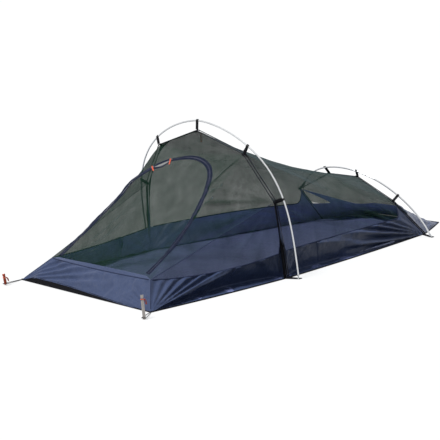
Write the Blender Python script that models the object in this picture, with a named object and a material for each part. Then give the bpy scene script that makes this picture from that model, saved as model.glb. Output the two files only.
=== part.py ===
"""Low one-person net tent held up by two hoop poles: bathtub floor, net canopy, arched zip door, clips, pegs.

Metres, +Z up. The feet of the front hoop stand on x = 0, the head end is toward -X and the foot end toward
+X. Left pieces lie on the -Y side and right pieces on the +Y side. The ground is z = 0.
"""

import math

import bmesh
import bpy
from mathutils import Matrix, Vector
from mathutils.geometry import intersect_point_line

# Hoops: where the feet stand, half the span between them, the rise, how far the top leans toward the head,
# and the two powers that square off the arc.
FRONT_FOOT_X = 0.0
FRONT_HALF_SPAN = 0.530
FRONT_RISE = 0.709
FRONT_LEAN = 0.109
FRONT_POWERS = (1.63, 3.68)
FRONT_SECTIONS = 4
REAR_FOOT_X = 1.116
REAR_HALF_SPAN = 0.432
REAR_RISE = 0.360
REAR_LEAN = 0.225
REAR_POWERS = (2.08, 1.89)
REAR_SECTIONS = 3
CHORDS_PER_SECTION = 14

# Pole tube, the ferrule that joins two sections, and the elastic cord inside.
TUBE_RADIUS = 0.00425
TUBE_BORE = 0.00355
FIT_GAP = 0.0003
FERRULE_RADIUS = TUBE_BORE - FIT_GAP
FERRULE_BORE = 0.0020
FERRULE_CHORDS = 1.6
ELASTIC_RADIUS = 0.0013
TIP_LENGTH = 0.020
TIP_PIN_RADIUS = 0.0026
TIP_COLLAR_RADIUS = 0.0052

# Bathtub floor: corners on the ground, one side. Beside each hoop the floor's corner stands in from the feet of
# the hoop. The rim is the upper edge of the solid wall.
FLOOR_HEAD_X = -0.843
FLOOR_HEAD_HALF = 0.468
FLOOR_FOOT_X = 1.452
FLOOR_FOOT_HALF = 0.227
FRONT_CORNER_BACK = 0.030
FRONT_CORNER_IN = 0.0415
REAR_CORNER_ON = 0.041
REAR_CORNER_IN = 0.0714
FLOOR_THICKNESS = 0.0008
WALL_FOOT_Z = FLOOR_THICKNESS + 0.0004
RIM_HEAD_ON = 0.078
RIM_HEAD_IN = 0.083
RIM_HEAD_Z = 0.115
RIM_FRONT_Z = 0.126
RIM_REAR_Z = 0.114
EAR_WIDTH = 0.055

# Canopy: the points that the clips pull on, one side. Each is found from a place on its hoop, an angle up from
# the right foot, and lies off it along the tent, across it and up. The net between the hoops sags.
CLIP_TOP_ANGLE = math.radians(90.0)
CLIP_TOP_OFF = (-0.0050, 0.0, -0.0470)
CLIP_SHOULDER_ANGLE = math.radians(48.73)
CLIP_SHOULDER_OFF = (-0.0047, -0.0230, -0.0361)
CLIP_SIDE_ANGLE = math.radians(17.98)
CLIP_SIDE_OFF = (-0.0025, -0.0504, -0.0163)
REAR_CLIP_TOP_ANGLE = math.radians(76.09)
REAR_CLIP_TOP_OFF = (0.0220, -0.0105, -0.0352)
REAR_CLIP_SIDE_ANGLE = math.radians(41.23)
REAR_CLIP_SIDE_OFF = (-0.0363, -0.0025, -0.0251)
RIDGE_SAG = 0.040
SIDE_SAG = 0.012
FOOT_SAG = 0.020
CANOPY_ROWS = 6
FOOT_ROWS = 4

# Cloth: each panel stops a little short of the seam line that it shares.
WALL_CLOTH = 0.0006
NET_CLOTH = 0.0005
SEAM_GAP = 0.0004
BINDING_RADIUS = 0.0030
BINDING_CLEARANCE = 0.0008
BINDING_END = 0.0070
CORNER_BINDING_RADIUS = 0.0016
CORNER_BINDING_CLEARANCE = 0.0007

# Folds in the slack cloth. They fan out from the corners where it is pulled, and die away at the seams.
FOLD_HEIGHT = 0.012
FOLD_SPACING = math.radians(11.0)
FOLD_REACH = 0.55
FOLD_START = 0.10
FOLD_EDGE = 0.045

# Door: an arch of three arcs on the sloping head panel, (u across, v up the slope from the rim).
DOOR_TOP_RADIUS = 0.260
DOOR_TOP_CENTRE = 0.485
DOOR_ARC_JOIN = math.radians(30.0)
DOOR_SIDE_RADIUS = 0.930
DOOR_SILL = 0.016
PEAK_V = 0.775
TAPE_WIDTH = 0.009
TAPE_THICKNESS = 0.0008
SLIDER_ANGLES = (39.0, 61.0)
SLIDER_TRAVELS = ((-8.0, 12.0), (0.0, 88.0))
FLAP_SWING = 140.0
PULL_SWING = 150.0
SLIDER_LENGTH = 0.014
SLIDER_WIDTH = 0.009
PULL_LENGTH = 0.036
PULL_WIDTH = 0.006
PULL_LEAN = math.radians(-5.0)

# Clips that hook over the poles.
HOOK_BORE = TUBE_RADIUS + 0.00055
HOOK_RADIUS = HOOK_BORE + 0.0024
HOOK_END = math.radians(200.0)
STRAP_THICKNESS = 0.0025
CLIP_WIDTH = 0.011
CLIP_SWING = 75.0

# Pegs, the part above the ground, and the cords at the head corners.
PEG_HEIGHTS = (0.104, 0.056)
PEG_TRAVEL = 0.16
PEG_OFF_CORNER = ((-0.085, 0.062), (-0.107, -0.028))
PEG_TILTS = ((-2.0, -3.0), (8.0, -14.0))
PEG_FIN = 0.0070
PEG_FIN_THICKNESS = 0.0020
PEG_NECK = 0.6
CORD_RADIUS = 0.0014
TAB_THICKNESS = 0.0018
TAB_HOLE = 0.0046
TAB_BEYOND = 0.014
TAB_HALF_LENGTH = 0.013
TAB_CORNER = 0.005
TAB_FLOOR_GAP = 0.0004

FLAT = Matrix.Identity(4)
SIDES = ((-1, "left"), (1, "right"))
INSIDE = Vector((0.2, 0.0, 0.05))
facets = []


def material(name, colour, roughness, metallic=0.0):
    made = bpy.data.materials.new(name)
    made.use_nodes = True
    made.diffuse_color = (*colour, 1.0)
    shader = made.node_tree.nodes["Principled BSDF"]
    shader.inputs["Base Color"].default_value = (*colour, 1.0)
    shader.inputs["Roughness"].default_value = roughness
    shader.inputs["Metallic"].default_value = metallic
    return made


def add_object(name, mesh, look, origin=None, smooth=True):
    """An object whose origin stands at the given point, with its mesh left where it was drawn."""
    if origin is not None:
        mesh.transform(Matrix.Translation(-Vector(origin)))
    if smooth:
        mesh.shade_smooth()
        mesh.set_sharp_from_angle(angle=math.radians(40.0))
    mesh.materials.append(look)
    made = bpy.data.objects.new(name, mesh)
    made.location = origin if origin is not None else (0.0, 0.0, 0.0)
    bpy.context.scene.collection.objects.link(made)
    return made


def note_joint(made, axis, low, high):
    """Keeps with a moving piece the direction it turns about or slides along, and how far it goes."""
    made["joint_axis"] = [round(value, 5) for value in axis]
    made["joint_range"] = [low, high]


def combine(target, helper, operation):
    """Cuts the helper from the target, or joins it on, and keeps the helper out of the render."""
    step = target.modifiers.new(helper.name, "BOOLEAN")
    step.operation = operation
    step.solver = "EXACT"
    step.object = helper
    helper.hide_render = True
    helper.display_type = "WIRE"


def skin(name, rings, look, cyclic=False, origin=None, smooth=True):
    """A closed body through rings of equal count, capped at both ends, or closed on itself when cyclic."""
    bm = bmesh.new()
    loops = [[bm.verts.new(point) for point in ring] for ring in rings]
    pairs = list(zip(loops, loops[1:]))
    if cyclic:
        pairs.append((loops[-1], loops[0]))
    count = len(loops[0])
    for first, second in pairs:
        for i in range(count):
            j = (i + 1) % count
            bm.faces.new((first[i], first[j], second[j], second[i]))
    if not cyclic:
        bm.faces.new(loops[0][::-1])
        bm.faces.new(loops[-1])
    bmesh.ops.recalc_face_normals(bm, faces=bm.faces[:])
    if bm.calc_volume(signed=True) < 0:
        bmesh.ops.reverse_faces(bm, faces=bm.faces[:])
    mesh = bpy.data.meshes.new(name)
    bm.to_mesh(mesh)
    bm.free()
    return add_object(name, mesh, look, origin, smooth)


def frame(centre, first, second, third):
    """The matrix that carries (a, b, c) to centre + a first + b second + c third."""
    turned = Matrix((first, second, third)).transposed().to_4x4()
    return Matrix.Translation(Vector(centre)) @ turned


def prism(name, outline, at, low, high, look, origin=None, smooth=True):
    """A flat outline drawn in the first two directions of a frame and pushed out along the third."""
    rings = [[at @ Vector((a, b, c)) for a, b in outline] for c in (low, high)]
    return skin(name, rings, look, False, origin, smooth)


def pierced_prism(name, outline, hole, at, low, high, look, origin=None, smooth=True):
    """A prism with one hole, where the outline and the hole have as many points."""
    order = ((outline, low), (outline, high), (hole, high), (hole, low))
    rings = [[at @ Vector((a, b, c)) for a, b in loop] for loop, c in order]
    return skin(name, rings, look, True, origin, smooth)


def circle(radius, count, centre=(0.0, 0.0)):
    steps = [math.tau * i / count for i in range(count)]
    return [(centre[0] + radius * math.cos(a), centre[1] + radius * math.sin(a)) for a in steps]


def mirrored(point, side):
    """A corner given for the +Y side, as a vector on the side asked for."""
    return Vector((point[0], side * point[1], point[2] if len(point) > 2 else WALL_FOOT_Z))


def tube_rings(path, radius, sides, closed=False, beyond=(None, None)):
    """Rings across a path, each on the plane that halves the bend at its point.

    Beyond holds the points that a longer path would pass before the first ring and after the last.
    """
    count = len(path)
    rings = []
    across = None
    for i, point in enumerate(path):
        before = path[i - 1] if i or closed else beyond[0] or point
        after = path[(i + 1) % count] if i + 1 < count or closed else beyond[1] or point
        along = ((point - before).normalized() + (after - point).normalized()).normalized()
        if across is None:
            across = along.orthogonal()
        across = (across - along * across.dot(along)).normalized()
        up = along.cross(across)
        rings.append([point + radius * (a * across + b * up) for a, b in circle(1.0, sides)])
    return rings


def rod(name, path, radius, sides, look, closed=False, origin=None):
    return skin(name, tube_rings(path, radius, sides, closed), look, closed, origin)


def open_tube(name, path, radius, bore, sides, look, beyond=(None, None)):
    outer = tube_rings(path, radius, sides, False, beyond)
    inner = tube_rings(path, bore, sides, False, beyond)
    return skin(name, outer + inner[::-1], look, True)


# Cloth panels.


def fan(corner, along):
    """Folds that fan out from a corner, their first crest along a direction: the height of the cloth at a point."""
    def height(point, normal):
        away = point - corner
        away -= normal * away.dot(normal)
        reach = away.length
        if reach < SEAM_GAP:
            return 0.0
        fade = min(reach / FOLD_START, 1.0) * max(1.0 - reach / FOLD_REACH, 0.0)
        wave = 0.5 + 0.5 * math.cos(math.tau * away.angle(along) / FOLD_SPACING)
        return FOLD_HEIGHT * fade * wave
    return height


def raise_folds(bm, folds, cuts):
    """Cuts the panel fine and lifts each inner point by the folds, less and less toward the outline."""
    bm.normal_update()
    outline = [(e.verts[0].co.copy(), e.verts[1].co.copy()) for e in bm.edges if e.is_boundary]
    bmesh.ops.subdivide_edges(bm, edges=bm.edges[:], cuts=cuts, use_grid_fill=True)
    bmesh.ops.triangulate(bm, faces=bm.faces[:])
    bm.normal_update()
    lifts = []
    for v in bm.verts:
        clear = FOLD_EDGE
        for first, second in outline:
            near, part = intersect_point_line(v.co, first, second)
            near = lerp(first, second, min(max(part, 0.0), 1.0))
            clear = min(clear, (v.co - near).length)
        part = clear / FOLD_EDGE
        ease = part * part * (3.0 - 2.0 * part)
        lifts.append(v.normal * (ease * sum(fold(v.co, v.normal) for fold in folds)))
    for v, lift in zip(bm.verts, lifts):
        v.co += lift


def cloth(name, points, faces, thickness, look, hole=None, origin=None, seamed=True, folds=(), cuts=10):
    """A panel of even thickness through the points, which stops short of its own outline by the seam gap.

    The first face may have a hole, given as a loop of points on its plane. A seamed panel counts for the
    bindings that run over its edges.
    """
    bm = bmesh.new()
    corners = [bm.verts.new(point) for point in points]
    for n, face in enumerate(faces):
        ring = [corners[i] for i in face]
        if hole is None or n:
            bm.faces.new(ring)
            continue
        inner = [bm.verts.new(point) for point in hole]
        edges = [bm.edges.new(pair) for pair in zip(ring, ring[1:] + ring[:1])]
        edges += [bm.edges.new(pair) for pair in zip(inner, inner[1:] + inner[:1])]
        bmesh.ops.triangle_fill(bm, use_beauty=True, use_dissolve=False, edges=edges)
    bmesh.ops.triangulate(bm, faces=bm.faces[:])
    bmesh.ops.recalc_face_normals(bm, faces=bm.faces[:])
    facing = sum((f.calc_center_median() - INSIDE).dot(f.normal) * f.calc_area() for f in bm.faces)
    if facing < 0:
        bmesh.ops.reverse_faces(bm, faces=bm.faces[:])
    if seamed:
        for f in bm.faces:
            facets.append(([v.co.copy() for v in f.verts], f.normal.copy()))
    if folds:
        raise_folds(bm, folds, cuts)
    ring = bmesh.ops.inset_region(
        bm, faces=bm.faces[:], thickness=SEAM_GAP, use_boundary=True, use_even_offset=True
    )
    bmesh.ops.delete(bm, geom=ring["faces"], context="FACES")
    mesh = bpy.data.meshes.new(name)
    bm.to_mesh(mesh)
    bm.free()
    made = add_object(name, mesh, look, origin, smooth=bool(folds))
    step = made.modifiers.new("Cloth thickness", "SOLIDIFY")
    step.thickness = thickness
    step.offset = 0.0
    step.use_even_offset = True
    return made


def outward(point, clearance):
    """The shortest way from a seam point that stays the clearance away from every panel that meets there."""
    found = [n for corners, n in facets if any((c - point).length < 1e-5 for c in corners)]
    middle = sum(found, Vector()).normalized()
    return middle * clearance / min(middle.dot(n) for n in found)


def on_door(u, v, n=0.0):
    """A point of the sloping head panel: u across, v up the slope from the rim, n out of the tent."""
    return DOOR_FRAME @ Vector((u, v, n))


def arch(offset, start, steps=14):
    """The door arch from its right foot over the top to its left foot, moved outward by the offset."""
    join = Vector((math.cos(DOOR_ARC_JOIN), math.sin(DOOR_ARC_JOIN)))
    side_centre = Vector((0.0, DOOR_TOP_CENTRE)) + join * (DOOR_TOP_RADIUS - DOOR_SIDE_RADIUS)
    radius = DOOR_SIDE_RADIUS + offset
    first = math.asin((start - side_centre.y) / radius)
    right = []
    for i in range(steps):
        a = first + (DOOR_ARC_JOIN - first) * i / steps
        right.append((side_centre.x + radius * math.cos(a), side_centre.y + radius * math.sin(a)))
    top = []
    for i in range(2 * steps + 1):
        a = DOOR_ARC_JOIN + (math.pi - 2 * DOOR_ARC_JOIN) * i / (2 * steps)
        reach = DOOR_TOP_RADIUS + offset
        top.append((reach * math.cos(a), DOOR_TOP_CENTRE + reach * math.sin(a)))
    return right + top + [(-u, v) for u, v in right[::-1]]


def lerp(first, second, part):
    return first + (second - first) * part


def sagging_net(front, rear, rows, sags, drop):
    """Points and faces of a net between two rows of corners, pulled toward the inside by the sags."""
    points = []
    for row in range(rows + 1):
        part = row / rows
        for a, b, sag in zip(front, rear, sags):
            points.append(lerp(a, b, part) + drop * (sag * 4.0 * part * (1.0 - part)))
    width = len(front)
    faces = []
    for row in range(rows):
        for i in range(width - 1):
            k = row * width + i
            faces.append((k, k + 1, k + width + 1, k + width))
    return points, faces


def make_floor(look):
    outline = FLOOR_CORNERS + [(x, -y) for x, y in FLOOR_CORNERS[::-1]]
    prism("tub_floor", outline, FLAT, 0.0, FLOOR_THICKNESS, look, smooth=False)


def hoop_point(t, foot_x, half_span, rise, lean, powers):
    """A point of a leaning squared-off arch, from the left foot at t = 0 to the right foot at t = pi."""
    across, up = math.cos(t), max(math.sin(t), 0.0)
    y = -half_span * math.copysign(abs(across) ** (2.0 / powers[0]), across)
    z = rise * up ** (2.0 / powers[1])
    return Vector((foot_x - lean * z / rise, y, z))


def pulled_point(shape, angle, off):
    """A seam point on the right side, from the angle of its place on a hoop and the way from there."""
    return hoop_point(math.pi - angle, *shape) + Vector(off)


def seam_corners(side):
    """Named corners of one side, with the rim points and the feet of the ears that rise to the clips."""
    head, front_hoop, rear_hoop, foot = FLOOR_CORNERS
    c = {
        "H": mirrored(head, side),
        "E": mirrored(front_hoop, side),
        "R": mirrored(rear_hoop, side),
        "Z": mirrored(foot, side),
        "HW": mirrored(RIM_HEAD, side),
        "S": mirrored(CLIP_SIDE, side),
        "U": mirrored(CLIP_SHOULDER, side),
        "A": mirrored(REAR_CLIP_TOP, side),
        "F": mirrored(REAR_CLIP_SIDE, side),
    }
    front = lerp(c["E"], c["S"], (RIM_FRONT_Z - WALL_FOOT_Z) / (CLIP_SIDE.z - WALL_FOOT_Z))
    rear = lerp(c["R"], c["F"], (RIM_REAR_Z - WALL_FOOT_Z) / (REAR_CLIP_SIDE.z - WALL_FOOT_Z))
    c["Qh"] = front + (c["HW"] - front).normalized() * EAR_WIDTH
    c["Q"] = front + (rear - front).normalized() * EAR_WIDTH
    c["Qr"] = rear + (front - rear).normalized() * EAR_WIDTH
    return c


def make_walls(look):
    """The solid walls of the bathtub: the head wall, and on each side one before and one behind the front hoop."""
    low, high = CORNERS[-1], CORNERS[1]
    folds = [fan(low["H"], high["H"] - low["H"]), fan(high["H"], low["H"] - high["H"])]
    corners = [low["H"], high["H"], high["HW"], low["HW"]]
    cloth("head_wall", corners, [(0, 1, 2, 3)], WALL_CLOTH, look, folds=folds)
    for side, word in SIDES:
        c = CORNERS[side]
        folds = [fan(c["H"], c["E"] - c["H"]), fan(c["E"], c["H"] - c["E"])]
        corners = [c[n] for n in ("H", "E", "S", "Qh", "HW")]
        faces = [(0, 1, 3, 4), (1, 2, 3)]
        cloth(f"front_wall_{word}", corners, faces, WALL_CLOTH, look, folds=folds)
        folds = [fan(c["R"], c["E"] - c["R"]), fan(c["E"], c["R"] - c["E"])]
        corners = [c[n] for n in ("E", "R", "F", "Qr", "Q", "S")]
        faces = [(0, 1, 3, 4), (1, 2, 3), (0, 4, 5)]
        cloth(f"side_wall_{word}", corners, faces, WALL_CLOTH, look, folds=folds)


def make_nets(look):
    """The head panel with its doorway, the small side nets and the long net between the hoops."""
    low, high = CORNERS[-1], CORNERS[1]
    top = CLIP_TOP
    points = [low["HW"], high["HW"], high["U"], on_door(0.0, PEAK_V), low["U"], top, high["S"], low["S"]]
    faces = [(0, 1, 2, 3, 4), (3, 2, 5), (3, 5, 4), (1, 6, 2), (0, 4, 7)]
    doorway = [on_door(u, v) for u, v in arch(0.0, DOOR_SILL)]
    cloth("head_net", points, faces, NET_CLOTH, look, hole=doorway)
    hinge = on_door(0.0, DOOR_SILL + SEAM_GAP)
    flap = list(range(len(doorway)))
    door = cloth("door_flap", doorway, [flap], NET_CLOTH, look, origin=hinge, seamed=False)
    note_joint(door, (0.0, -1.0, 0.0), 0.0, FLAP_SWING)
    for side, word in SIDES:
        c = CORNERS[side]
        cloth(f"side_net_{word}", [c["HW"], c["Qh"], c["S"]], [(0, 1, 2)], NET_CLOTH, look)
    front = [low["Q"], low["S"], low["U"], top, high["U"], high["S"], high["Q"]]
    crest = (low["A"] + high["A"]) * 0.5
    rear = [low["Qr"], low["F"], low["A"], crest, high["A"], high["F"], high["Qr"]]
    sags = (0.0, SIDE_SAG, SIDE_SAG * 1.5, RIDGE_SAG, SIDE_SAG * 1.5, SIDE_SAG, 0.0)
    points, faces = sagging_net(front, rear, CANOPY_ROWS, sags, Vector((0.0, 0.0, -1.0)))
    folds = [fan(c["R"], c["E"] - c["R"]) for c in (low, high)]
    cloth("canopy_net", points, faces, NET_CLOTH, look, folds=folds, cuts=2)


def make_foot_panel(look):
    low, high = CORNERS[-1], CORNERS[1]
    crest = (low["A"] + high["A"]) * 0.5
    front = [low["R"], low["F"], low["A"], crest, high["A"], high["F"], high["R"]]
    shares = (0.0, 0.16, 0.36, 0.5, 0.64, 0.84, 1.0)
    rear = [lerp(low["Z"], high["Z"], share) for share in shares]
    sags = (0.0, FOOT_SAG * 0.6, FOOT_SAG, FOOT_SAG, FOOT_SAG, FOOT_SAG * 0.6, 0.0)
    points, faces = sagging_net(front, rear, FOOT_ROWS, sags, Vector((0.0, 0.0, -1.0)))
    folds = [fan(c["R"], c["Z"] - c["R"]) for c in (low, high)]
    cloth("foot_panel", points, faces, WALL_CLOTH, look, folds=folds, cuts=2)


def make_bindings(look):
    """Piped edges over the two hoop seams, and a finer one up each head corner to the side clip."""
    low, high = CORNERS[-1], CORNERS[1]
    crest = (low["A"] + high["A"]) * 0.5
    front = [low["E"], low["S"], low["U"], CLIP_TOP, high["U"], high["S"], high["E"]]
    rear = [low["R"], low["F"], low["A"], crest, high["A"], high["F"], high["R"]]
    for name, seam in (("front_seam_binding", front), ("rear_seam_binding", rear)):
        path = [point + outward(point, BINDING_RADIUS + BINDING_CLEARANCE) for point in seam]
        for end, beside in ((0, 1), (-1, -2)):
            path[end] = lerp(path[end], path[beside], BINDING_END / (path[beside] - path[end]).length)
        rod(name, path, BINDING_RADIUS, 8, look)
    for side, word in SIDES:
        c = CORNERS[side]
        clearance = CORNER_BINDING_RADIUS + CORNER_BINDING_CLEARANCE
        path = [p + outward(p, clearance) for p in (c["H"], c["HW"], c["S"])]
        path[0] = lerp(path[0], path[1], 0.05)
        path[2] = lerp(path[2], path[1], 0.03)
        rod(f"corner_binding_{word}", path, CORNER_BINDING_RADIUS, 6, look)


# Poles.


def even_path(shape, chords):
    """The hoop as equal chords, found along a fine trace of the curve."""
    fine = [hoop_point(math.pi * (0.5 - 0.5 * math.cos(math.pi * i / 4000)), *shape) for i in range(4001)]
    reach = [0.0]
    for first, second in zip(fine, fine[1:]):
        reach.append(reach[-1] + (second - first).length)
    path = []
    k = 0
    for i in range(chords + 1):
        goal = reach[-1] * i / chords
        while k < len(fine) - 2 and reach[k + 1] < goal:
            k += 1
        part = (goal - reach[k]) / (reach[k + 1] - reach[k])
        path.append(lerp(fine[k], fine[k + 1], min(max(part, 0.0), 1.0)))
    return path


def cut_path(path, first, last, short_first, short_last):
    """Part of a path between two places counted in chords, each end drawn in by a length."""
    def place(at):
        k = min(int(at), len(path) - 2)
        return lerp(path[k], path[k + 1], at - k)

    inner = [path[i] for i in range(int(first) + 1, math.ceil(last))]
    points = [place(first)] + inner + [place(last)]
    points[0] = lerp(points[0], points[1], short_first / (points[1] - points[0]).length)
    points[-1] = lerp(points[-1], points[-2], short_last / (points[-2] - points[-1]).length)
    return points


def make_tip(name, foot, toward, look):
    """The plug in a pole end: a round pin that stands in the eyelet of the ground tab, a collar and a spigot."""
    along = (toward - foot).normalized()
    ball = (TIP_PIN_RADIUS + 0.0001) / along.z
    across = Vector((0.0, 1.0, 0.0))
    across = (across - along * across.dot(along)).normalized()
    up = along.cross(across)
    stations = [(-0.92, 0.38), (-0.55, 0.83), (0.0, 1.0)]
    rings = [(ball + a * TIP_PIN_RADIUS, b * TIP_PIN_RADIUS) for a, b in stations]
    rings += [(0.0125, TIP_PIN_RADIUS), (0.0130, TIP_COLLAR_RADIUS), (TIP_LENGTH, TIP_COLLAR_RADIUS)]
    rings += [(TIP_LENGTH, FERRULE_RADIUS), (TIP_LENGTH + 0.0085, FERRULE_RADIUS)]
    rings += [(TIP_LENGTH + 0.0095, FERRULE_RADIUS * 0.8)]
    loops = [[foot + along * d + r * (a * across + b * up) for a, b in circle(1.0, 14)] for d, r in rings]
    return skin(name, loops, look)


def make_pole(word, shape, sections, looks):
    """One hoop: butted tube sections, a ferrule inside each joint, the elastic cord through all, and two tips."""
    chords = sections * CHORDS_PER_SECTION
    path = even_path(shape, chords)
    half_gap = FIT_GAP / 2
    for n in range(sections):
        first, last = n * CHORDS_PER_SECTION, (n + 1) * CHORDS_PER_SECTION
        short_first = TIP_LENGTH + FIT_GAP if n == 0 else half_gap
        short_last = TIP_LENGTH + FIT_GAP if n == sections - 1 else half_gap
        run = cut_path(path, first, last, short_first, short_last)
        beyond = (path[first - 1] if n else None, path[last + 1] if n < sections - 1 else None)
        open_tube(f"{word}_pole_section_{n + 1}", run, TUBE_RADIUS, TUBE_BORE, 10, looks["alloy"], beyond)
    for n in range(1, sections):
        joint = n * CHORDS_PER_SECTION
        run = cut_path(path, joint - FERRULE_CHORDS, joint + FERRULE_CHORDS, 0.0, 0.0)
        open_tube(f"{word}_ferrule_{n}", run, FERRULE_RADIUS, FERRULE_BORE, 8, looks["alloy_dark"])
    run = cut_path(path, 0, chords, TIP_LENGTH + 0.0130, TIP_LENGTH + 0.0130)
    rod(f"{word}_pole_elastic", run, ELASTIC_RADIUS, 5, looks["black"])
    make_tip(f"{word}_pole_tip_left", path[0], path[1], looks["alloy_dark"])
    make_tip(f"{word}_pole_tip_right", path[-1], path[-2], looks["alloy_dark"])
    return path


def nearest_on(path, point):
    """The nearest place on a pole's centre line, with the direction of the pole there."""
    best = None
    for first, second in zip(path, path[1:]):
        along = second - first
        part = min(max((point - first).dot(along) / along.length_squared, 0.0), 1.0)
        at = first + along * part
        if best is None or (at - point).length < best[0]:
            best = ((at - point).length, at, along.normalized())
    return best[1], best[2]


def make_clip(name, path, seam_point, swing, look):
    """A hook over the pole on a short strap. It turns about the strap's seam end, the way the swing points."""
    binding = seam_point + outward(seam_point, BINDING_RADIUS + BINDING_CLEARANCE)
    pole, along = nearest_on(path, binding)
    toward = (binding - pole).normalized()
    toward = (toward - along * toward.dot(along)).normalized()
    out = along.cross(toward)
    if out.dot(swing) < 0:
        out = -out
    reach = (binding - pole).length - BINDING_RADIUS - 0.0005 - STRAP_THICKNESS / 2
    half = STRAP_THICKNESS / 2
    start = -math.asin(half / HOOK_BORE)
    outline = []
    for i in range(15):
        a = start + (HOOK_END - start) * i / 14
        outline.append((HOOK_BORE * math.cos(a), HOOK_BORE * math.sin(a)))
    stop = math.asin(half / HOOK_RADIUS)
    for i in range(15):
        a = HOOK_END + (stop - HOOK_END) * i / 14
        outline.append((HOOK_RADIUS * math.cos(a), HOOK_RADIUS * math.sin(a)))
    for i in range(7):
        a = math.pi / 2 - math.pi * i / 6
        outline.append((reach + half * math.cos(a), half * math.sin(a)))
    at = frame(pole, toward, out, toward.cross(out))
    hinge = at @ Vector((reach, 0.0, 0.0))
    made = prism(name, outline, at, -CLIP_WIDTH / 2, CLIP_WIDTH / 2, look, origin=hinge)
    note_joint(made, out.cross(toward), 0.0, CLIP_SWING)


def make_clips(front_path, rear_path, look):
    toward_head, toward_foot = Vector((-1.0, 0.0, 0.0)), Vector((1.0, 0.0, 0.0))
    make_clip("front_clip_top", front_path, CLIP_TOP, toward_head, look)
    for side, word in SIDES:
        c = CORNERS[side]
        make_clip(f"front_clip_shoulder_{word}", front_path, c["U"], toward_head, look)
        make_clip(f"front_clip_side_{word}", front_path, c["S"], toward_head, look)
        make_clip(f"rear_clip_top_{word}", rear_path, c["A"], toward_foot, look)
        make_clip(f"rear_clip_side_{word}", rear_path, c["F"], toward_head, look)


# Zip.


def make_zip(looks):
    """Two tapes along the door arch, and two sliders on them, each with a pull that swings on its bail."""
    low = NET_CLOTH / 2 + FIT_GAP
    high = low + TAPE_THICKNESS
    for name, near, far in (("zip_tape_frame", 0.0004, TAPE_WIDTH), ("zip_tape_flap", -TAPE_WIDTH, -0.0004)):
        outline = arch(far, DOOR_SILL + 0.014) + arch(near, DOOR_SILL + 0.014)[::-1]
        prism(name, outline, DOOR_FRAME, low, high, looks["zip"], smooth=False)
    for n, degrees in enumerate(SLIDER_ANGLES, 1):
        a = math.radians(degrees)
        spot = Vector((DOOR_TOP_RADIUS * math.cos(a), DOOR_TOP_CENTRE + DOOR_TOP_RADIUS * math.sin(a)))
        along = (DOOR_FRAME.to_3x3() @ Vector((-math.sin(a), math.cos(a), 0.0))).normalized()
        inward = (DOOR_FRAME.to_3x3() @ Vector((-math.cos(a), -math.sin(a), 0.0))).normalized()
        up = DOOR_FRAME.to_3x3() @ Vector((0.0, 0.0, 1.0))
        body = make_slider(n, on_door(spot.x, spot.y, high + FIT_GAP), along, inward, up, looks)
        body["joint_centre"] = list(on_door(0.0, DOOR_TOP_CENTRE))
        note_joint(body, -up, *SLIDER_TRAVELS[n - 1])


def make_slider(n, seat, along, inward, up, looks):
    half_length, half_width = SLIDER_LENGTH / 2, SLIDER_WIDTH / 2
    plate = [(-half_length, -0.6 * half_width), (-0.5 * half_length, -half_width), (half_length, -half_width)]
    plate += [(half_length, half_width), (-0.5 * half_length, half_width), (-half_length, 0.6 * half_width)]
    body = prism(f"zip_slider_{n}", plate, frame(seat, along, inward, up), 0.0, 0.0020, looks["steel"])
    outer = [(-0.0060, 0.0012), (-0.0060, 0.0050), (-0.0050, 0.0064)]
    inner = [(-0.0044, 0.0014), (-0.0044, 0.0042), (-0.0038, 0.0048)]
    outer += [(-x, z) for x, z in outer[::-1]]
    inner += [(-x, z) for x, z in inner[::-1]]
    at = frame(seat, along, up, along.cross(up))
    bail = pierced_prism(f"slider_bail_{n}", outer, inner, at, -0.0008, 0.0008, looks["steel"])
    combine(body, bail, "UNION")
    make_pull(n, seat + up * 0.0056, inward, up, looks["orange"])
    return body


def make_pull(n, pin, inward, up, look):
    """A pull with an eye round the bail's bar, lying inward over the door flap."""
    count = 24
    outline = circle(0.0026, count)
    tail = ((PULL_LENGTH, -0.0009), (PULL_LENGTH + 0.0008, 0.0), (PULL_LENGTH, 0.0009))
    for k, point in zip((-1, 0, 1), tail):
        outline[k] = point
    outline[2] = (0.0030, 0.0010)
    outline[-2] = (0.0030, -0.0010)
    at = frame(pin, inward, up, inward.cross(up)) @ Matrix.Rotation(PULL_LEAN, 4, "Z")
    hole = circle(0.0015, count)
    made = pierced_prism(f"zip_pull_{n}", outline, hole, at, -PULL_WIDTH / 2, PULL_WIDTH / 2, look, origin=pin)
    note_joint(made, inward.cross(up), 0.0, PULL_SWING)


# Ground.


def beside_floor(x):
    """The y just outside the long edge of the floor."""
    head, front_hoop, rear_hoop, _ = FLOOR_CORNERS
    start, end = (head, front_hoop) if x < front_hoop[0] else (front_hoop, rear_hoop)
    return start[1] + (end[1] - start[1]) * (x - start[0]) / (end[0] - start[0]) + TAB_FLOOR_GAP


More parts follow.
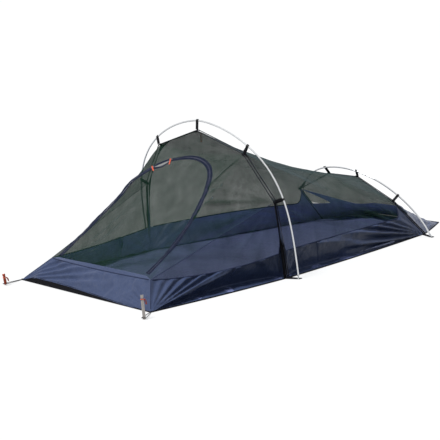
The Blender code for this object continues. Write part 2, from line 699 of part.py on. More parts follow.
def make_ground_tabs(look, helper_look):
    """Webbing tabs on the ground beside the floor, with an eyelet for each pole tip."""
    front, rear = FLOOR_CORNERS[1][0], FLOOR_CORNERS[2][0]
    spots = (
        ("front", FRONT_FOOT_X, FRONT_HALF_SPAN, (front - 0.016, front, front + 0.024)),
        ("rear", REAR_FOOT_X, REAR_HALF_SPAN, (rear - 0.026, rear - 0.001)),
    )
    for word, x, y, edge in spots:
        inner = [(at_x, beside_floor(at_x)) for at_x in edge]
        for side, side_word in SIDES:
            corner = [(TAB_HALF_LENGTH, TAB_BEYOND - TAB_CORNER), (TAB_HALF_LENGTH - TAB_CORNER, TAB_BEYOND)]
            corner += [(-a, b) for a, b in corner[::-1]]
            outline = inner + [(x + a, y + b) for a, b in corner]
            outline = [(px, side * py) for px, py in outline]
            name = f"{word}_ground_tab_{side_word}"
            tab = prism(name, outline, FLAT, FIT_GAP, FIT_GAP + TAB_THICKNESS, look, smooth=False)
            hole = circle(TAB_HOLE, 16, (x, side * y))
            cutter = prism(f"{name}_hole", hole, FLAT, -TAB_THICKNESS, 3 * TAB_THICKNESS, helper_look)
            combine(tab, cutter, "DIFFERENCE")


def make_peg(name, height, foot, tilt, look):
    """A three-finned stake with a neck under its head, the part that stands above the ground."""
    turn = Matrix.Rotation(math.radians(tilt[0]), 3, "X") @ Matrix.Rotation(math.radians(tilt[1]), 3, "Y")
    low = FIT_GAP + PEG_FIN * abs(math.sin(math.radians(math.hypot(*tilt))))
    base = Vector((foot[0], foot[1], low))
    neck = ((0.026, 1.0), (0.023, PEG_NECK), (0.014, PEG_NECK), (0.011, 1.0), (0.0, 1.0))
    levels = [(0.0, 1.0)] + [(height - down, scale) for down, scale in neck]
    rings = []
    for level, scale in levels:
        ring = []
        for k in range(3):
            a = math.tau * k / 3
            fin = Vector((math.cos(a), math.sin(a), 0.0))
            side = Vector((-math.sin(a), math.cos(a), 0.0)) * PEG_FIN_THICKNESS / 2
            between = Vector((math.cos(a + math.pi / 3), math.sin(a + math.pi / 3), 0.0))
            ring += [fin * PEG_FIN * scale - side, fin * PEG_FIN * scale + side, between * PEG_FIN_THICKNESS * 0.62]
        rings.append([base + turn @ (p + Vector((0.0, 0.0, level))) for p in ring])
    made = skin(name, rings, look, origin=base, smooth=False)
    note_joint(made, turn @ Vector((0.0, 0.0, 1.0)), 0.0, PEG_TRAVEL)
    return base, turn


def make_peg_cord(name, height, base, turn, look):
    """The short cord round the neck of a peg, drooping to one side."""
    neck = height - 0.0185
    back = [(0.0062 * math.cos(a), 0.0062 * math.sin(a), neck) for a in (1.9, 2.5, math.pi, -2.5, -1.9)]
    droop = [(0.0060, -0.0064, neck), (0.0120, -0.0056, neck - 0.004), (0.0165, -0.0048, neck - 0.014)]
    droop += [(0.0180, -0.0026, neck - 0.024), (0.0180, 0.0026, neck - 0.024)]
    droop += [(0.0165, 0.0048, neck - 0.014), (0.0120, 0.0056, neck - 0.004), (0.0060, 0.0064, neck)]
    path = [base + turn @ Vector(p) for p in back + droop]
    rod(name, path, CORD_RADIUS, 6, look, closed=True)


def make_corner_loop(name, corner, held, look):
    """The cord loop at a head corner of the floor, held out round the peg at the height given."""
    away = Vector((held.x - corner.x, held.y - corner.y, 0.0))
    length = away.length
    away.normalize()
    aside = Vector((-away.y, away.x, 0.0))
    near, far = 0.0048, length - 0.0002
    path = []
    for i in range(7):
        a = -math.pi / 2 + math.pi * i / 6
        path.append((far + 0.0095 * math.cos(a), 0.0095 * math.sin(a)))
    for i in range(5):
        a = math.pi / 2 + math.pi * i / 4
        path.append((near + 0.0030 * math.cos(a), 0.0030 * math.sin(a)))
    start = Vector((corner.x, corner.y, 0.0))
    lift = [held.z if along > length / 2 else 0.0019 for along, _ in path]
    points = [start + away * a + aside * b + Vector((0.0, 0.0, z)) for (a, b), z in zip(path, lift)]
    rod(name, points, CORD_RADIUS, 6, look, closed=True)


def make_pegs(looks):
    for (side, word), height, off, tilt in zip(SIDES, PEG_HEIGHTS, PEG_OFF_CORNER, PEG_TILTS):
        foot = (FLOOR_HEAD_X + off[0], side * (FLOOR_HEAD_HALF + off[1]))
        base, turn = make_peg(f"peg_{word}", height, foot, tilt, looks["alloy"])
        make_peg_cord(f"peg_cord_{word}", height, base, turn, looks["orange"])
        held = base + turn @ Vector((0.0, 0.0, 0.0080 - base.z))
        make_corner_loop(f"corner_loop_{word}", mirrored(FLOOR_CORNERS[0], side), held, looks["black"])


def make_hanging_loop(look):
    """The small loop inside, under the top clip, that a lamp hangs from."""
    top = CLIP_TOP + Vector((0.022, 0.0, -0.0107))
    path = []
    for i in range(12):
        a = math.tau * i / 12
        stretch = 0.017 if math.sin(a) < 0.0 else 0.0
        path.append(top + Vector((0.0, 0.0045 * math.cos(a), 0.0045 * math.sin(a) - 0.006 - stretch * 2)))
    rod("hanging_loop", path, 0.0011, 6, look, closed=True)


for old in list(bpy.data.objects):
    bpy.data.objects.remove(old)

looks = {
    "navy": material("navy_ripstop", (0.060, 0.075, 0.170), 0.45),
    "floor": material("navy_floor", (0.045, 0.055, 0.120), 0.50),
    "net": material("dark_net", (0.060, 0.075, 0.070), 0.85),
    "black": material("black_webbing", (0.012, 0.012, 0.014), 0.65),
    "binding": material("navy_binding", (0.018, 0.022, 0.045), 0.70),
    "zip": material("navy_zip", (0.030, 0.036, 0.090), 0.60),
    "alloy": material("polished_alloy", (0.80, 0.81, 0.83), 0.25, 1.0),
    "alloy_dark": material("grey_alloy", (0.45, 0.46, 0.48), 0.35, 1.0),
    "steel": material("slider_steel", (0.35, 0.36, 0.38), 0.35, 1.0),
    "orange": material("orange_cord", (0.75, 0.12, 0.04), 0.60),
    "helper": material("helper", (0.5, 0.5, 0.5), 0.5),
}

FRONT_SHAPE = (FRONT_FOOT_X, FRONT_HALF_SPAN, FRONT_RISE, FRONT_LEAN, FRONT_POWERS)
REAR_SHAPE = (REAR_FOOT_X, REAR_HALF_SPAN, REAR_RISE, REAR_LEAN, REAR_POWERS)
FLOOR_CORNERS = [
    (FLOOR_HEAD_X, FLOOR_HEAD_HALF),
    (FRONT_FOOT_X - FRONT_CORNER_BACK, FRONT_HALF_SPAN - FRONT_CORNER_IN),
    (REAR_FOOT_X + REAR_CORNER_ON, REAR_HALF_SPAN - REAR_CORNER_IN),
    (FLOOR_FOOT_X, FLOOR_FOOT_HALF),
]
CLIP_TOP = pulled_point(FRONT_SHAPE, CLIP_TOP_ANGLE, CLIP_TOP_OFF)
CLIP_SHOULDER = pulled_point(FRONT_SHAPE, CLIP_SHOULDER_ANGLE, CLIP_SHOULDER_OFF)
CLIP_SIDE = pulled_point(FRONT_SHAPE, CLIP_SIDE_ANGLE, CLIP_SIDE_OFF)
REAR_CLIP_TOP = pulled_point(REAR_SHAPE, REAR_CLIP_TOP_ANGLE, REAR_CLIP_TOP_OFF)
REAR_CLIP_SIDE = pulled_point(REAR_SHAPE, REAR_CLIP_SIDE_ANGLE, REAR_CLIP_SIDE_OFF)
RIM_HEAD = Vector((FLOOR_HEAD_X + RIM_HEAD_ON, FLOOR_HEAD_HALF - RIM_HEAD_IN, RIM_HEAD_Z))

CORNERS = {side: seam_corners(side) for side, _ in SIDES}
slope = Vector((CLIP_SHOULDER.x - RIM_HEAD.x, 0.0, CLIP_SHOULDER.z - RIM_HEAD.z)).normalized()
sill = Vector((RIM_HEAD.x, 0.0, RIM_HEAD.z))
DOOR_FRAME = frame(sill, (0.0, 1.0, 0.0), slope, Vector((-slope.z, 0.0, slope.x)))

make_floor(looks["floor"])
make_walls(looks["navy"])
make_nets(looks["net"])
make_foot_panel(looks["navy"])
make_bindings(looks["binding"])
front_path = make_pole("front", FRONT_SHAPE, FRONT_SECTIONS, looks)
rear_path = make_pole("rear", REAR_SHAPE, REAR_SECTIONS, looks)
make_clips(front_path, rear_path, looks["black"])
make_zip(looks)
make_ground_tabs(looks["black"], looks["helper"])
make_pegs(looks)
make_hanging_loop(looks["orange"])
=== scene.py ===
"""Looks of a low one-person net tent on two hoop poles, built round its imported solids.

Metres, +Z up. The head end is toward -X, the foot end toward +X, and the front hoop's feet stand at x = 0.
The near side is -Y and the far side +Y. The pieces follow in the order in which the tent is put together.
"""

import math

import bmesh
import bpy
import numpy as np
from mathutils import Matrix, Vector, noise


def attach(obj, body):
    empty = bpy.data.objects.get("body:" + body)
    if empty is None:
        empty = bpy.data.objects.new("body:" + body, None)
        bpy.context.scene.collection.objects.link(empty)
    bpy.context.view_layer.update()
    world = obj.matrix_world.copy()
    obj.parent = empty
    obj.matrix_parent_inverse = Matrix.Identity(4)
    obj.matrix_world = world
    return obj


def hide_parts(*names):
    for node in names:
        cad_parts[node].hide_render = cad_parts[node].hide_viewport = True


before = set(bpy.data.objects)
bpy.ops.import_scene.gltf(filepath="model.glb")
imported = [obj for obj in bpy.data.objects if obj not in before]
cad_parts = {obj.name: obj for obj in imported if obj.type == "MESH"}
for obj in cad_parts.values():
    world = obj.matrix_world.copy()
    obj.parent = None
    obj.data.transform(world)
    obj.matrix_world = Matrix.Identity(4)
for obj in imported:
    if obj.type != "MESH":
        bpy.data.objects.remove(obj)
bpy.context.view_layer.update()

# Camera, light and ground.
# A long lens looks down on the tent from the near head corner. One broad sun stands high over the head end, the
# sky is plain, and the ground is pale and keeps the tent's shadow.

CAMERA_PLACE = Vector((-4.2332, -4.5321, 1.3921))
CAMERA_TURN = 0.7528
CAMERA_DIP = 0.1880
CAMERA_ROLL = -0.0324
CAMERA_SIGHT = 500.0
FOCAL_PIXELS = 1298.88
PHOTO_PIXELS = 440.0
SENSOR = 36.0
SUN_TOWARD = Vector((-0.46, 0.02, 0.92))
SUN_STRENGTH = 3.2
SUN_SPREAD = math.radians(16.0)
SKY_STRENGTH = 0.32
GROUND_GLOW = 0.60
GROUND_REACH = 150
WHITE = (1.0, 1.0, 1.0, 1.0)

ahead = Vector((
    math.cos(CAMERA_DIP) * math.sin(CAMERA_TURN),
    math.cos(CAMERA_DIP) * math.cos(CAMERA_TURN),
    -math.sin(CAMERA_DIP),
))
level = Vector((math.cos(CAMERA_TURN), -math.sin(CAMERA_TURN), 0.0))
upright = level.cross(ahead)
right = level * math.cos(CAMERA_ROLL) + upright * math.sin(CAMERA_ROLL)
top = upright * math.cos(CAMERA_ROLL) - level * math.sin(CAMERA_ROLL)



def in_scene(name, data):
    """A new object of the scene."""
    made = bpy.data.objects.new(name, data)
    bpy.context.scene.collection.objects.link(made)
    return made


lens = bpy.data.cameras.new("photo_camera")
lens.sensor_width = SENSOR
lens.lens = SENSOR * FOCAL_PIXELS / PHOTO_PIXELS
lens.clip_end = CAMERA_SIGHT
camera = in_scene("photo_camera", lens)
camera.matrix_world = Matrix.Translation(CAMERA_PLACE) @ Matrix((right, top, -ahead)).transposed().to_4x4()
bpy.context.scene.camera = camera
bpy.context.scene.view_settings.view_transform = "Standard"

light = bpy.data.lights.new("high_sun", "SUN")
light.energy = SUN_STRENGTH
light.angle = SUN_SPREAD
in_scene("high_sun", light).matrix_world = SUN_TOWARD.to_track_quat("Z", "Y").to_matrix().to_4x4()


def add_node(tree, kind, inputs=None, **settings):
    """A node with its settings, whose inputs are fed by sockets or hold plain values."""
    node = tree.nodes.new(kind)
    for word, value in settings.items():
        setattr(node, word, value)
    for socket, value in (inputs or {}).items():
        if hasattr(value, "is_linked"):
            tree.links.new(value, node.inputs[socket])
        else:
            node.inputs[socket].default_value = value
    return node


def seen_or_not(tree, rays, seen, dull, output):
    """One shader for the rays named and another for the rest, brought to the output node."""
    path = add_node(tree, "ShaderNodeLightPath").outputs
    share = path[rays[0]]
    for ray in rays[1:]:
        share = add_node(tree, "ShaderNodeMath", {0: share, 1: path[ray]}, operation="MAXIMUM").outputs[0]
    mix = add_node(tree, "ShaderNodeMixShader", {0: share, 1: dull.outputs[0], 2: seen.outputs[0]})
    add_node(tree, output, {"Surface": mix.outputs[0]})


world = bpy.data.worlds.new("plain_sky")
bpy.context.scene.world = world
world.use_nodes = True
sky = world.node_tree
sky.nodes.clear()
sky_seen = add_node(sky, "ShaderNodeBackground", {"Color": WHITE})
sky_light = add_node(sky, "ShaderNodeBackground", {"Color": (0.86, 0.93, 1.0, 1.0), "Strength": SKY_STRENGTH})
seen_or_not(sky, ("Is Camera Ray", "Is Glossy Ray"), sky_seen, sky_light, "ShaderNodeOutputWorld")

ground_mesh = bpy.data.meshes.new("pale_ground")
ground_corners = [(x * GROUND_REACH, y * GROUND_REACH, 0) for x, y in ((-1, -1), (1, -1), (1, 1), (-1, 1))]
ground_mesh.from_pydata(ground_corners, [], [(0, 1, 2, 3)])
ground = in_scene("pale_ground", ground_mesh)
ground_look = bpy.data.materials.new("pale_ground")
ground_look.use_nodes = True
tree = ground_look.node_tree
tree.nodes.clear()
glow = add_node(tree, "ShaderNodeEmission", {"Color": WHITE, "Strength": GROUND_GLOW})
shade = add_node(tree, "ShaderNodeBsdfDiffuse", {"Color": (0.36, 0.36, 0.36, 1.0)})
ground_seen = add_node(tree, "ShaderNodeAddShader", {0: glow.outputs[0], 1: shade.outputs[0]})
ground_dull = add_node(tree, "ShaderNodeBsdfDiffuse", {"Color": (0.05, 0.06, 0.05, 1.0)})
seen_or_not(tree, ("Is Camera Ray", "Is Glossy Ray", "Is Transmission Ray"), ground_seen, ground_dull,
            "ShaderNodeOutputMaterial")
ground_mesh.materials.append(ground_look)

# Hoop poles.
# Two hoops of 8.5 mm drawn alloy tube: four and three sections that push together over short ferrules, with an
# elastic cord inside and a turned tip in each end. The tube is bright, with fine draw lines and a few scuffs.


def principled(name, colour, roughness, metallic=0.0, **sockets):
    """A material with one Principled shader, whose plain sockets are set directly."""
    made = bpy.data.materials.new(name)
    made.use_nodes = True
    made.diffuse_color = (*colour, 1.0)
    shader = made.node_tree.nodes["Principled BSDF"]
    shader.inputs["Base Color"].default_value = (*colour, 1.0)
    shader.inputs["Roughness"].default_value = roughness
    shader.inputs["Metallic"].default_value = metallic
    for socket, value in sockets.items():
        shader.inputs[socket.replace("_", " ")].default_value = value
    return made, made.node_tree, shader


def new_group(name, inputs, outputs):
    """A shader node group of numbers, the sockets that bring them in and the ones that take them out."""
    group = bpy.data.node_groups.new(name, "ShaderNodeTree")
    for label, value in inputs.items():
        group.interface.new_socket(label, in_out="INPUT", socket_type="NodeSocketFloat").default_value = value
    for label in outputs:
        group.interface.new_socket(label, in_out="OUTPUT", socket_type="NodeSocketFloat")
    return group, group.nodes.new("NodeGroupInput").outputs, group.nodes.new("NodeGroupOutput").inputs


def math_node(tree, operation, *values):
    """The result of a math node fed by sockets or by plain numbers."""
    return add_node(tree, "ShaderNodeMath", dict(enumerate(values)), operation=operation).outputs[0]


def mix_colours(tree, share, first, second):
    """A mix of two colours, each of them a socket or a plain colour."""
    first, second = (colour if hasattr(colour, "is_linked") else (*colour, 1.0) for colour in (first, second))
    return add_node(tree, "ShaderNodeMix", {0: share, 6: first, 7: second}, data_type="RGBA").outputs[2]


def bump_into(tree, shader, height, strength, distance):
    """Relief from a height, in a shader's normal."""
    node = add_node(tree, "ShaderNodeBump", {"Strength": strength, "Distance": distance, "Height": height})
    tree.links.new(node.outputs["Normal"], shader.inputs["Normal"])


def object_noise(tree, scale, detail=3.0, distortion=0.0, drawn_out=None):
    """Cloudy noise in the space of the piece, drawn out along its axes where that is asked for."""
    place = add_node(tree, "ShaderNodeTexCoord").outputs["Object"]
    if drawn_out:
        place = add_node(tree, "ShaderNodeMapping", {"Vector": place, "Scale": drawn_out}).outputs["Vector"]
    given = {"Vector": place, "Scale": scale, "Detail": detail, "Distortion": distortion}
    return add_node(tree, "ShaderNodeTexNoise", given).outputs["Fac"]


# Scuffs: soft patches and fine scratches, used on every metal and moulded piece.
scuffs, scuffs_in, scuffs_out = new_group(
    "scuffs", {"Patch Scale": 60.0, "Scratch Scale": 900.0}, ("Patches", "Scratches")
)
scuffs.links.new(object_noise(scuffs, scuffs_in["Patch Scale"], 4.0), scuffs_out["Patches"])
scuffs.links.new(object_noise(scuffs, scuffs_in["Scratch Scale"], 2.0, 0.6), scuffs_out["Scratches"])


def scuffed(name, colour, worn, roughness, metallic, bump=0.15, patch=60.0, scratch=900.0, **sockets):
    """A hard finish whose colour and roughness drift with wear."""
    made, tree, shader = principled(name, colour, roughness, metallic, **sockets)
    scales = {"Patch Scale": patch, "Scratch Scale": scratch}
    wear = add_node(tree, "ShaderNodeGroup", scales, node_tree=scuffs).outputs
    tree.links.new(mix_colours(tree, wear["Patches"], colour, worn), shader.inputs["Base Color"])
    spread = math_node(tree, "MULTIPLY_ADD", wear["Scratches"], 0.25, roughness - 0.12)
    tree.links.new(spread, shader.inputs["Roughness"])
    bump_into(tree, shader, wear["Scratches"], bump, 0.0002)
    return made


bright_alloy = scuffed("bright_alloy", (0.70, 0.71, 0.72), (0.58, 0.59, 0.61), 0.30, 1.0, 0.08, 40.0, 700.0)
grey_alloy = scuffed("grey_alloy", (0.55, 0.56, 0.58), (0.42, 0.43, 0.45), 0.38, 1.0)
shock_cord = scuffed("shock_cord", (0.02, 0.02, 0.022), (0.05, 0.05, 0.05), 0.8, 0.0)


def finish_nodes(look, *names):
    """Gives CAD nodes their finish."""
    for name in names:
        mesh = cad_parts[name].data
        mesh.materials.clear()
        mesh.materials.append(look)


for word, count in (("front", 4), ("rear", 3)):
    finish_nodes(bright_alloy, *[f"{word}_pole_section_{n}" for n in range(1, count + 1)])
    finish_nodes(grey_alloy, *[f"{word}_ferrule_{n}" for n in range(1, count)])
    finish_nodes(grey_alloy, f"{word}_pole_tip_left", f"{word}_pole_tip_right")
    finish_nodes(shock_cord, f"{word}_pole_elastic")

# Bathtub floor.
# One piece of coated nylon with a fine ripstop grid, 2.3 m long and narrow at the foot. It lies on the ground a
# little rumpled. Its black outer edge is rolled up and sewn to the walls all round.

HEAD = Vector((-0.843, 0.468, 0.0012))
FRONT = Vector((-0.030, 0.4885, 0.0012))
REAR = Vector((1.157, 0.3606, 0.0012))
FOOT = Vector((1.452, 0.227, 0.0012))
INSIDE = (0.2, 0.0, 0.06)
LOWEST_CLOTH = 0.0008
NARROWEST_CUT = 0.0105
NEAR, FAR = -1, 1
SIDES = ((NEAR, "left"), (FAR, "right"))


def on_side(point, side):
    return Vector((point.x, side * point.y, point.z))


def lerp(first, second, part):
    return first + (second - first) * part


def smooth_step(part):
    part = np.clip(part, 0.0, 1.0)
    return part * part * (3.0 - 2.0 * part)


def floor_edge(start, end, t, bulge):
    """A long edge of the floor on the far side, which swells out a little between its pegs and tabs."""
    point = lerp(start, end, t)
    point.y += bulge * math.sin(math.pi * t)
    return point


def length_knots(values):
    """Places of a list of points along their polyline, from 0 to 1."""
    steps = [0.0]
    for a, b in zip(values, values[1:]):
        steps.append(steps[-1] + (b - a).length)
    return [step / steps[-1] for step in steps]


def along(values, part):
    """The point at a share of a polyline's length."""
    knots = length_knots(values)
    return Vector([float(np.interp(part, knots, [v[k] for v in values])) for k in range(3)])


def rumple(points, height, size, seed):
    """Heights of a soft uneven surface at the points, between minus and plus the height."""
    offset = Vector((seed * 7.13, seed * 3.71, seed * 5.37))
    return np.array([
        height * noise.fractal(Vector(p) / size + offset, 0.9, 2.1, 3) for p in points.reshape(-1, 3)
    ]).reshape(points.shape[:2])


def outward_normals(points, inside):
    """Unit normals of a grid of points, turned away from a point inside the tent."""
    normals = np.cross(np.gradient(points, axis=1), np.gradient(points, axis=0))
    normals = normals / np.maximum(np.linalg.norm(normals, axis=2, keepdims=True), 1e-9)
    facing = ((points - np.array(inside)) * normals).sum(axis=2).sum()
    return normals if facing > 0 else -normals


def creases(points, lines):
    """Heights left by single tension lines: each is (start, end, height, width), sharpest on the line itself."""
    total = np.zeros(points.shape[:2])
    for start, end, height, width in lines:
        start, end = np.array(start, float), np.array(end, float)
        span = end - start
        part = np.clip(((points - start) @ span) / (span @ span), 0.0, 1.0)
        gap = np.linalg.norm(points - (start + part[..., None] * span), axis=2)
        taper = np.clip(part * 6.0, 0.0, 1.0) * np.clip((1.0 - part) * 3.0, 0.0, 1.0)
        total += height * np.exp(-(gap / width) ** 2) * taper
    return total


def fan(points, corner, toward, knots, size, reach, start=0.02):
    """Heights of folds that spread from a pulled corner: knots are (angle up from a direction, level) pairs."""
    toward = np.array(toward, float)
    toward /= np.linalg.norm(toward)
    away = points - np.array(corner, float)
    radius = np.linalg.norm(away, axis=2)
    ahead_part = away @ toward
    rise = np.sqrt(np.maximum(radius ** 2 - ahead_part ** 2, 0.0))
    angle = np.degrees(np.arctan2(rise, ahead_part))
    places = [k[0] for k in knots]
    levels = [k[1] for k in knots]
    step = np.clip(np.searchsorted(places, angle) - 1, 0, len(places) - 2)
    places, levels = np.array(places, float), np.array(levels, float)
    share = smooth_step((angle - places[step]) / (places[step + 1] - places[step]))
    level = levels[step] + (levels[step + 1] - levels[step]) * share
    fade = smooth_step(radius / start - 0.2) * smooth_step(1.3 * (1.0 - radius / reach))
    return size * radius * level * fade


def edge_ease(shape, margins):
    """A mask that is 0 on the sewn edges of a grid and 1 inside: margins are the shares for its four edges."""
    v = np.linspace(0.0, 1.0, shape[0])[:, None]
    u = np.linspace(0.0, 1.0, shape[1])[None, :]
    mask = np.ones(shape[:2])
    for gap, margin in zip((v, 1.0 - v, u, 1.0 - u), margins):
        if margin > 0.0:
            mask = mask * smooth_step(gap / margin)
    return mask


def lift(points, heights, margins, inside=INSIDE):
    """Moves a grid of points out along its normals by the heights, not at its sewn edges nor into the ground."""
    heights = heights * edge_ease(points.shape, margins)
    lifted = points + outward_normals(points, inside) * heights[..., None]
    lifted[..., 2] = np.maximum(lifted[..., 2], LOWEST_CLOTH)
    return lifted


def gathered(pleats):
    """How bunched the cloth is on its pleats: 1 along the top of a high one and 0 on flat cloth."""
    return np.clip(pleats / 0.0045, 0.0, 1.0) ** 2


def grid_of(columns):
    """Rows and columns of points from a list of columns."""
    return np.array([[tuple(p) for p in column] for column in columns]).transpose(1, 0, 2)


def sew_sheet(name, points, look, inside, around=False, pleats=None):
    """Cloth through a grid of points with a UV map in metres. Around closes the rows on themselves."""
    rows, columns = points.shape[:2]
    if around:
        points = np.concatenate([points, points[:, :1]], axis=1)
        columns += 1
    across = np.linalg.norm(np.diff(points, axis=1), axis=2).mean(axis=0)
    across = np.concatenate([[0.0], np.cumsum(across)])
    down = np.linalg.norm(np.diff(points, axis=0), axis=2).mean(axis=1)
    down = np.concatenate([[0.0], np.cumsum(down)])
    index = np.arange(rows * columns).reshape(rows, columns)
    faces = np.stack([index[:-1, :-1], index[:-1, 1:], index[1:, 1:], index[1:, :-1]], axis=-1).reshape(-1, 4)
    flat = points.reshape(-1, 3)
    normal = np.cross(flat[faces[:, 1]] - flat[faces[:, 0]], flat[faces[:, 3]] - flat[faces[:, 0]])
    if not around and ((flat[faces].mean(axis=1) - np.array(inside)) * normal).sum() < 0:
        faces = faces[:, ::-1]
    faces = faces.tolist()
    if around:
        faces += [index[0, :-1].tolist(), index[-1, :-1][::-1].tolist()]
    mesh = bpy.data.meshes.new(name)
    mesh.from_pydata(flat.tolist(), [], faces)
    uv = mesh.uv_layers.new(name="cloth_metres")
    places = np.stack(np.broadcast_arrays(across[None, :], down[:, None]), axis=-1).reshape(-1, 2)
    corner = np.zeros(len(mesh.loops), dtype=int)
    mesh.loops.foreach_get("vertex_index", corner)
    uv.data.foreach_set("uv", places[corner].ravel())
    if pleats is not None:
        mesh.attributes.new("folds", "FLOAT", "POINT").data.foreach_set("value", gathered(pleats).ravel())
    mesh.materials.append(look)
    bm = bmesh.new()
    bm.from_mesh(mesh)
    bmesh.ops.remove_doubles(bm, verts=bm.verts[:], dist=0.00002)
    bmesh.ops.dissolve_degenerate(bm, edges=bm.edges[:], dist=0.00001)
    if around:
        bmesh.ops.recalc_face_normals(bm, faces=bm.faces[:])
    area = sum(face.calc_area() for face in bm.faces) * (0.5 if around else 1.0)
    bm.to_mesh(mesh)
    bm.free()
    mesh.shade_smooth()
    if around:
        mesh.set_sharp_from_angle(angle=math.radians(60.0))
    width = max(float(across[-1]) * (0.5 if around else 1.0), NARROWEST_CUT)
    return in_scene(name, mesh), (width, max(float(down[-1]), NARROWEST_CUT)), area


def panel(name, points, look, node=None, inside=INSIDE, body="tent_body",
          around=False, pleats=None):
    """A sewn piece of cloth in the place of a CAD node, riding on a body."""
    made, flat, area = sew_sheet(name, points, look, inside, around, pleats)
    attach(made, body)
    if node:
        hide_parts(node)


def metre_lines(tree, spacing, width, axes=("X", "Y")):
    """Lines at a spacing on the cloth's UV map in metres: 1 on a line and 0 between."""
    cloth_uv = add_node(tree, "ShaderNodeUVMap", uv_map="cloth_metres").outputs["UV"]
    split = add_node(tree, "ShaderNodeSeparateXYZ", {0: cloth_uv}).outputs
    found = None
    for axis in axes:
        cell = math_node(tree, "FRACT", math_node(tree, "DIVIDE", split[axis], spacing))
        line = math_node(tree, "LESS_THAN", cell, width)
        found = line if found is None else math_node(tree, "MAXIMUM", found, line)
    return found


# Ripstop weave: a fine plain weave with thicker threads in a grid, drifts of tone and small crumples.
ripstop, ripstop_in, ripstop_out = new_group(
    "ripstop", {"Grid": 0.005, "Thread": 0.12, "Crumple": 14.0}, ("Grid Lines", "Tone", "Height")
)
grid_lines = metre_lines(ripstop, ripstop_in["Grid"], ripstop_in["Thread"])
crumple = object_noise(ripstop, ripstop_in["Crumple"], 5.0, 1.2)
ripstop.links.new(grid_lines, ripstop_out["Grid Lines"])
ripstop.links.new(object_noise(ripstop, 5.0), ripstop_out["Tone"])
ripstop.links.new(math_node(ripstop, "MULTIPLY_ADD", grid_lines, 0.06, crumple), ripstop_out["Height"])


def nylon(name, colour, pale, lining_and_painted_light, roughness, crumple_scale, bump):
    """Coated ripstop nylon: a satin face that shows its creases, and a paler back that is partly its coating and
    partly painted light, for light shining through the cloth into the tent.
    """
    made, tree, shader = principled(name, colour, roughness, 0.0, Specular_IOR_Level=0.14)
    weave = add_node(tree, "ShaderNodeGroup", {"Crumple": crumple_scale}, node_tree=ripstop).outputs
    tone = mix_colours(tree, weave["Tone"], colour, pale)
    lined = mix_colours(tree, math_node(tree, "MULTIPLY", weave["Grid Lines"], 0.22), tone, pale)
    # Back faces take the pale lining colour: partly the coating, partly painted light for light shining through
    # the nylon.
    behind = add_node(tree, "ShaderNodeNewGeometry").outputs["Backfacing"]
    tree.links.new(mix_colours(tree, behind, lined, lining_and_painted_light), shader.inputs["Base Color"])
    bump_into(tree, shader, weave["Height"], bump, 0.004)
    return made


# The floor is the same navy nylon as the walls, painted about three times brighter: painted light, so that the
# floor seen through the net reads as lit.
floor_nylon_painted_light = nylon("floor_nylon_painted_light", (0.160, 0.190, 0.370), (0.195, 0.230, 0.430), (0.1, 0.12, 0.25),
                    0.42, 9.0, 0.40)
# The walls' lining is about ten times paler than their face: painted light for the sun shining through the cloth
# onto the inside of the far walls.
wall_nylon = nylon("wall_nylon", (0.043, 0.060, 0.122), (0.064, 0.088, 0.174), (0.510, 0.555, 0.820),
                   0.30, 14.0, 0.60)

FLOOR_RUNS = ((HEAD, FRONT, 0.008, 56), (FRONT, REAR, 0.010, 80), (REAR, FOOT, 0.003, 22))
floor_line = [
    floor_edge(a, b, i / count, bulge) for a, b, bulge, count in FLOOR_RUNS for i in range(count)
] + [FOOT]
points = np.array([[tuple(lerp(on_side(p, -1), p, i / 84)) for i in range(85)] for p in floor_line])
eased = edge_ease(points.shape, (0.03, 0.03, 0.05, 0.05))
points[..., 2] = LOWEST_CLOTH + np.abs(rumple(points, 0.010, 0.22, 1)) * eased
panel("floor_cloth", points, floor_nylon_painted_light, "tub_floor", (0.2, 0.0, -1.0))

# Floor hem.
# The floor's edge turns up outside the walls as a black rolled hem. It shows as a dark line on the ground. Under
# the head wall the black sheet stands up to the lifted wall foot, highest under its far half, where the corner
# loop pulls
# the wall up: that tall part is painted shade for the shadow under the lifted edge.


def woven(name, colour, pale, roughness, rib=0.0016, bump=0.5):
    """Webbing or binding tape: close ribs across its length, dusty where it rubs."""
    made, tree, shader = principled(name, colour, roughness, 0.0, Specular_IOR_Level=0.04)
    ribs = metre_lines(tree, rib, 0.45, ("Y",))
    dust = object_noise(tree, 30.0, 4.0)
    tone = mix_colours(tree, math_node(tree, "MULTIPLY", dust, 0.6), colour, pale)
    lined = mix_colours(tree, math_node(tree, "MULTIPLY", ribs, 0.35), tone, pale)
    tree.links.new(lined, shader.inputs["Base Color"])
    bump_into(tree, shader, ribs, bump, 0.0004)
    return made


def ribbon(path, normals, half_width, half_thickness, sides=10):
    """Rings of a flat rounded band along a path, as a grid of points that closes round its rows."""
    path = np.array([tuple(p) for p in path])
    normals = np.array([tuple(n) for n in normals])
    tangents = np.gradient(path, axis=0)
    tangents /= np.linalg.norm(tangents, axis=1, keepdims=True)
    normals = normals - tangents * (normals * tangents).sum(axis=1, keepdims=True)
    normals /= np.linalg.norm(normals, axis=1, keepdims=True)
    sideways = np.cross(tangents, normals)
    turn = np.arange(sides) * 2.0 * math.pi / sides
    flat = np.sign(np.cos(turn)) * np.abs(np.cos(turn)) ** 0.7 * half_width
    thick = np.sign(np.sin(turn)) * np.abs(np.sin(turn)) ** 0.7 * half_thickness
    return path[:, None] + sideways[:, None] * flat[None, :, None] + normals[:, None] * thick[None, :, None]


black_tape = woven("black_tape", (0.005, 0.005, 0.007), (0.018, 0.018, 0.022), 0.62)
navy_tape = woven("navy_tape", (0.026, 0.034, 0.072), (0.045, 0.056, 0.110), 0.62)

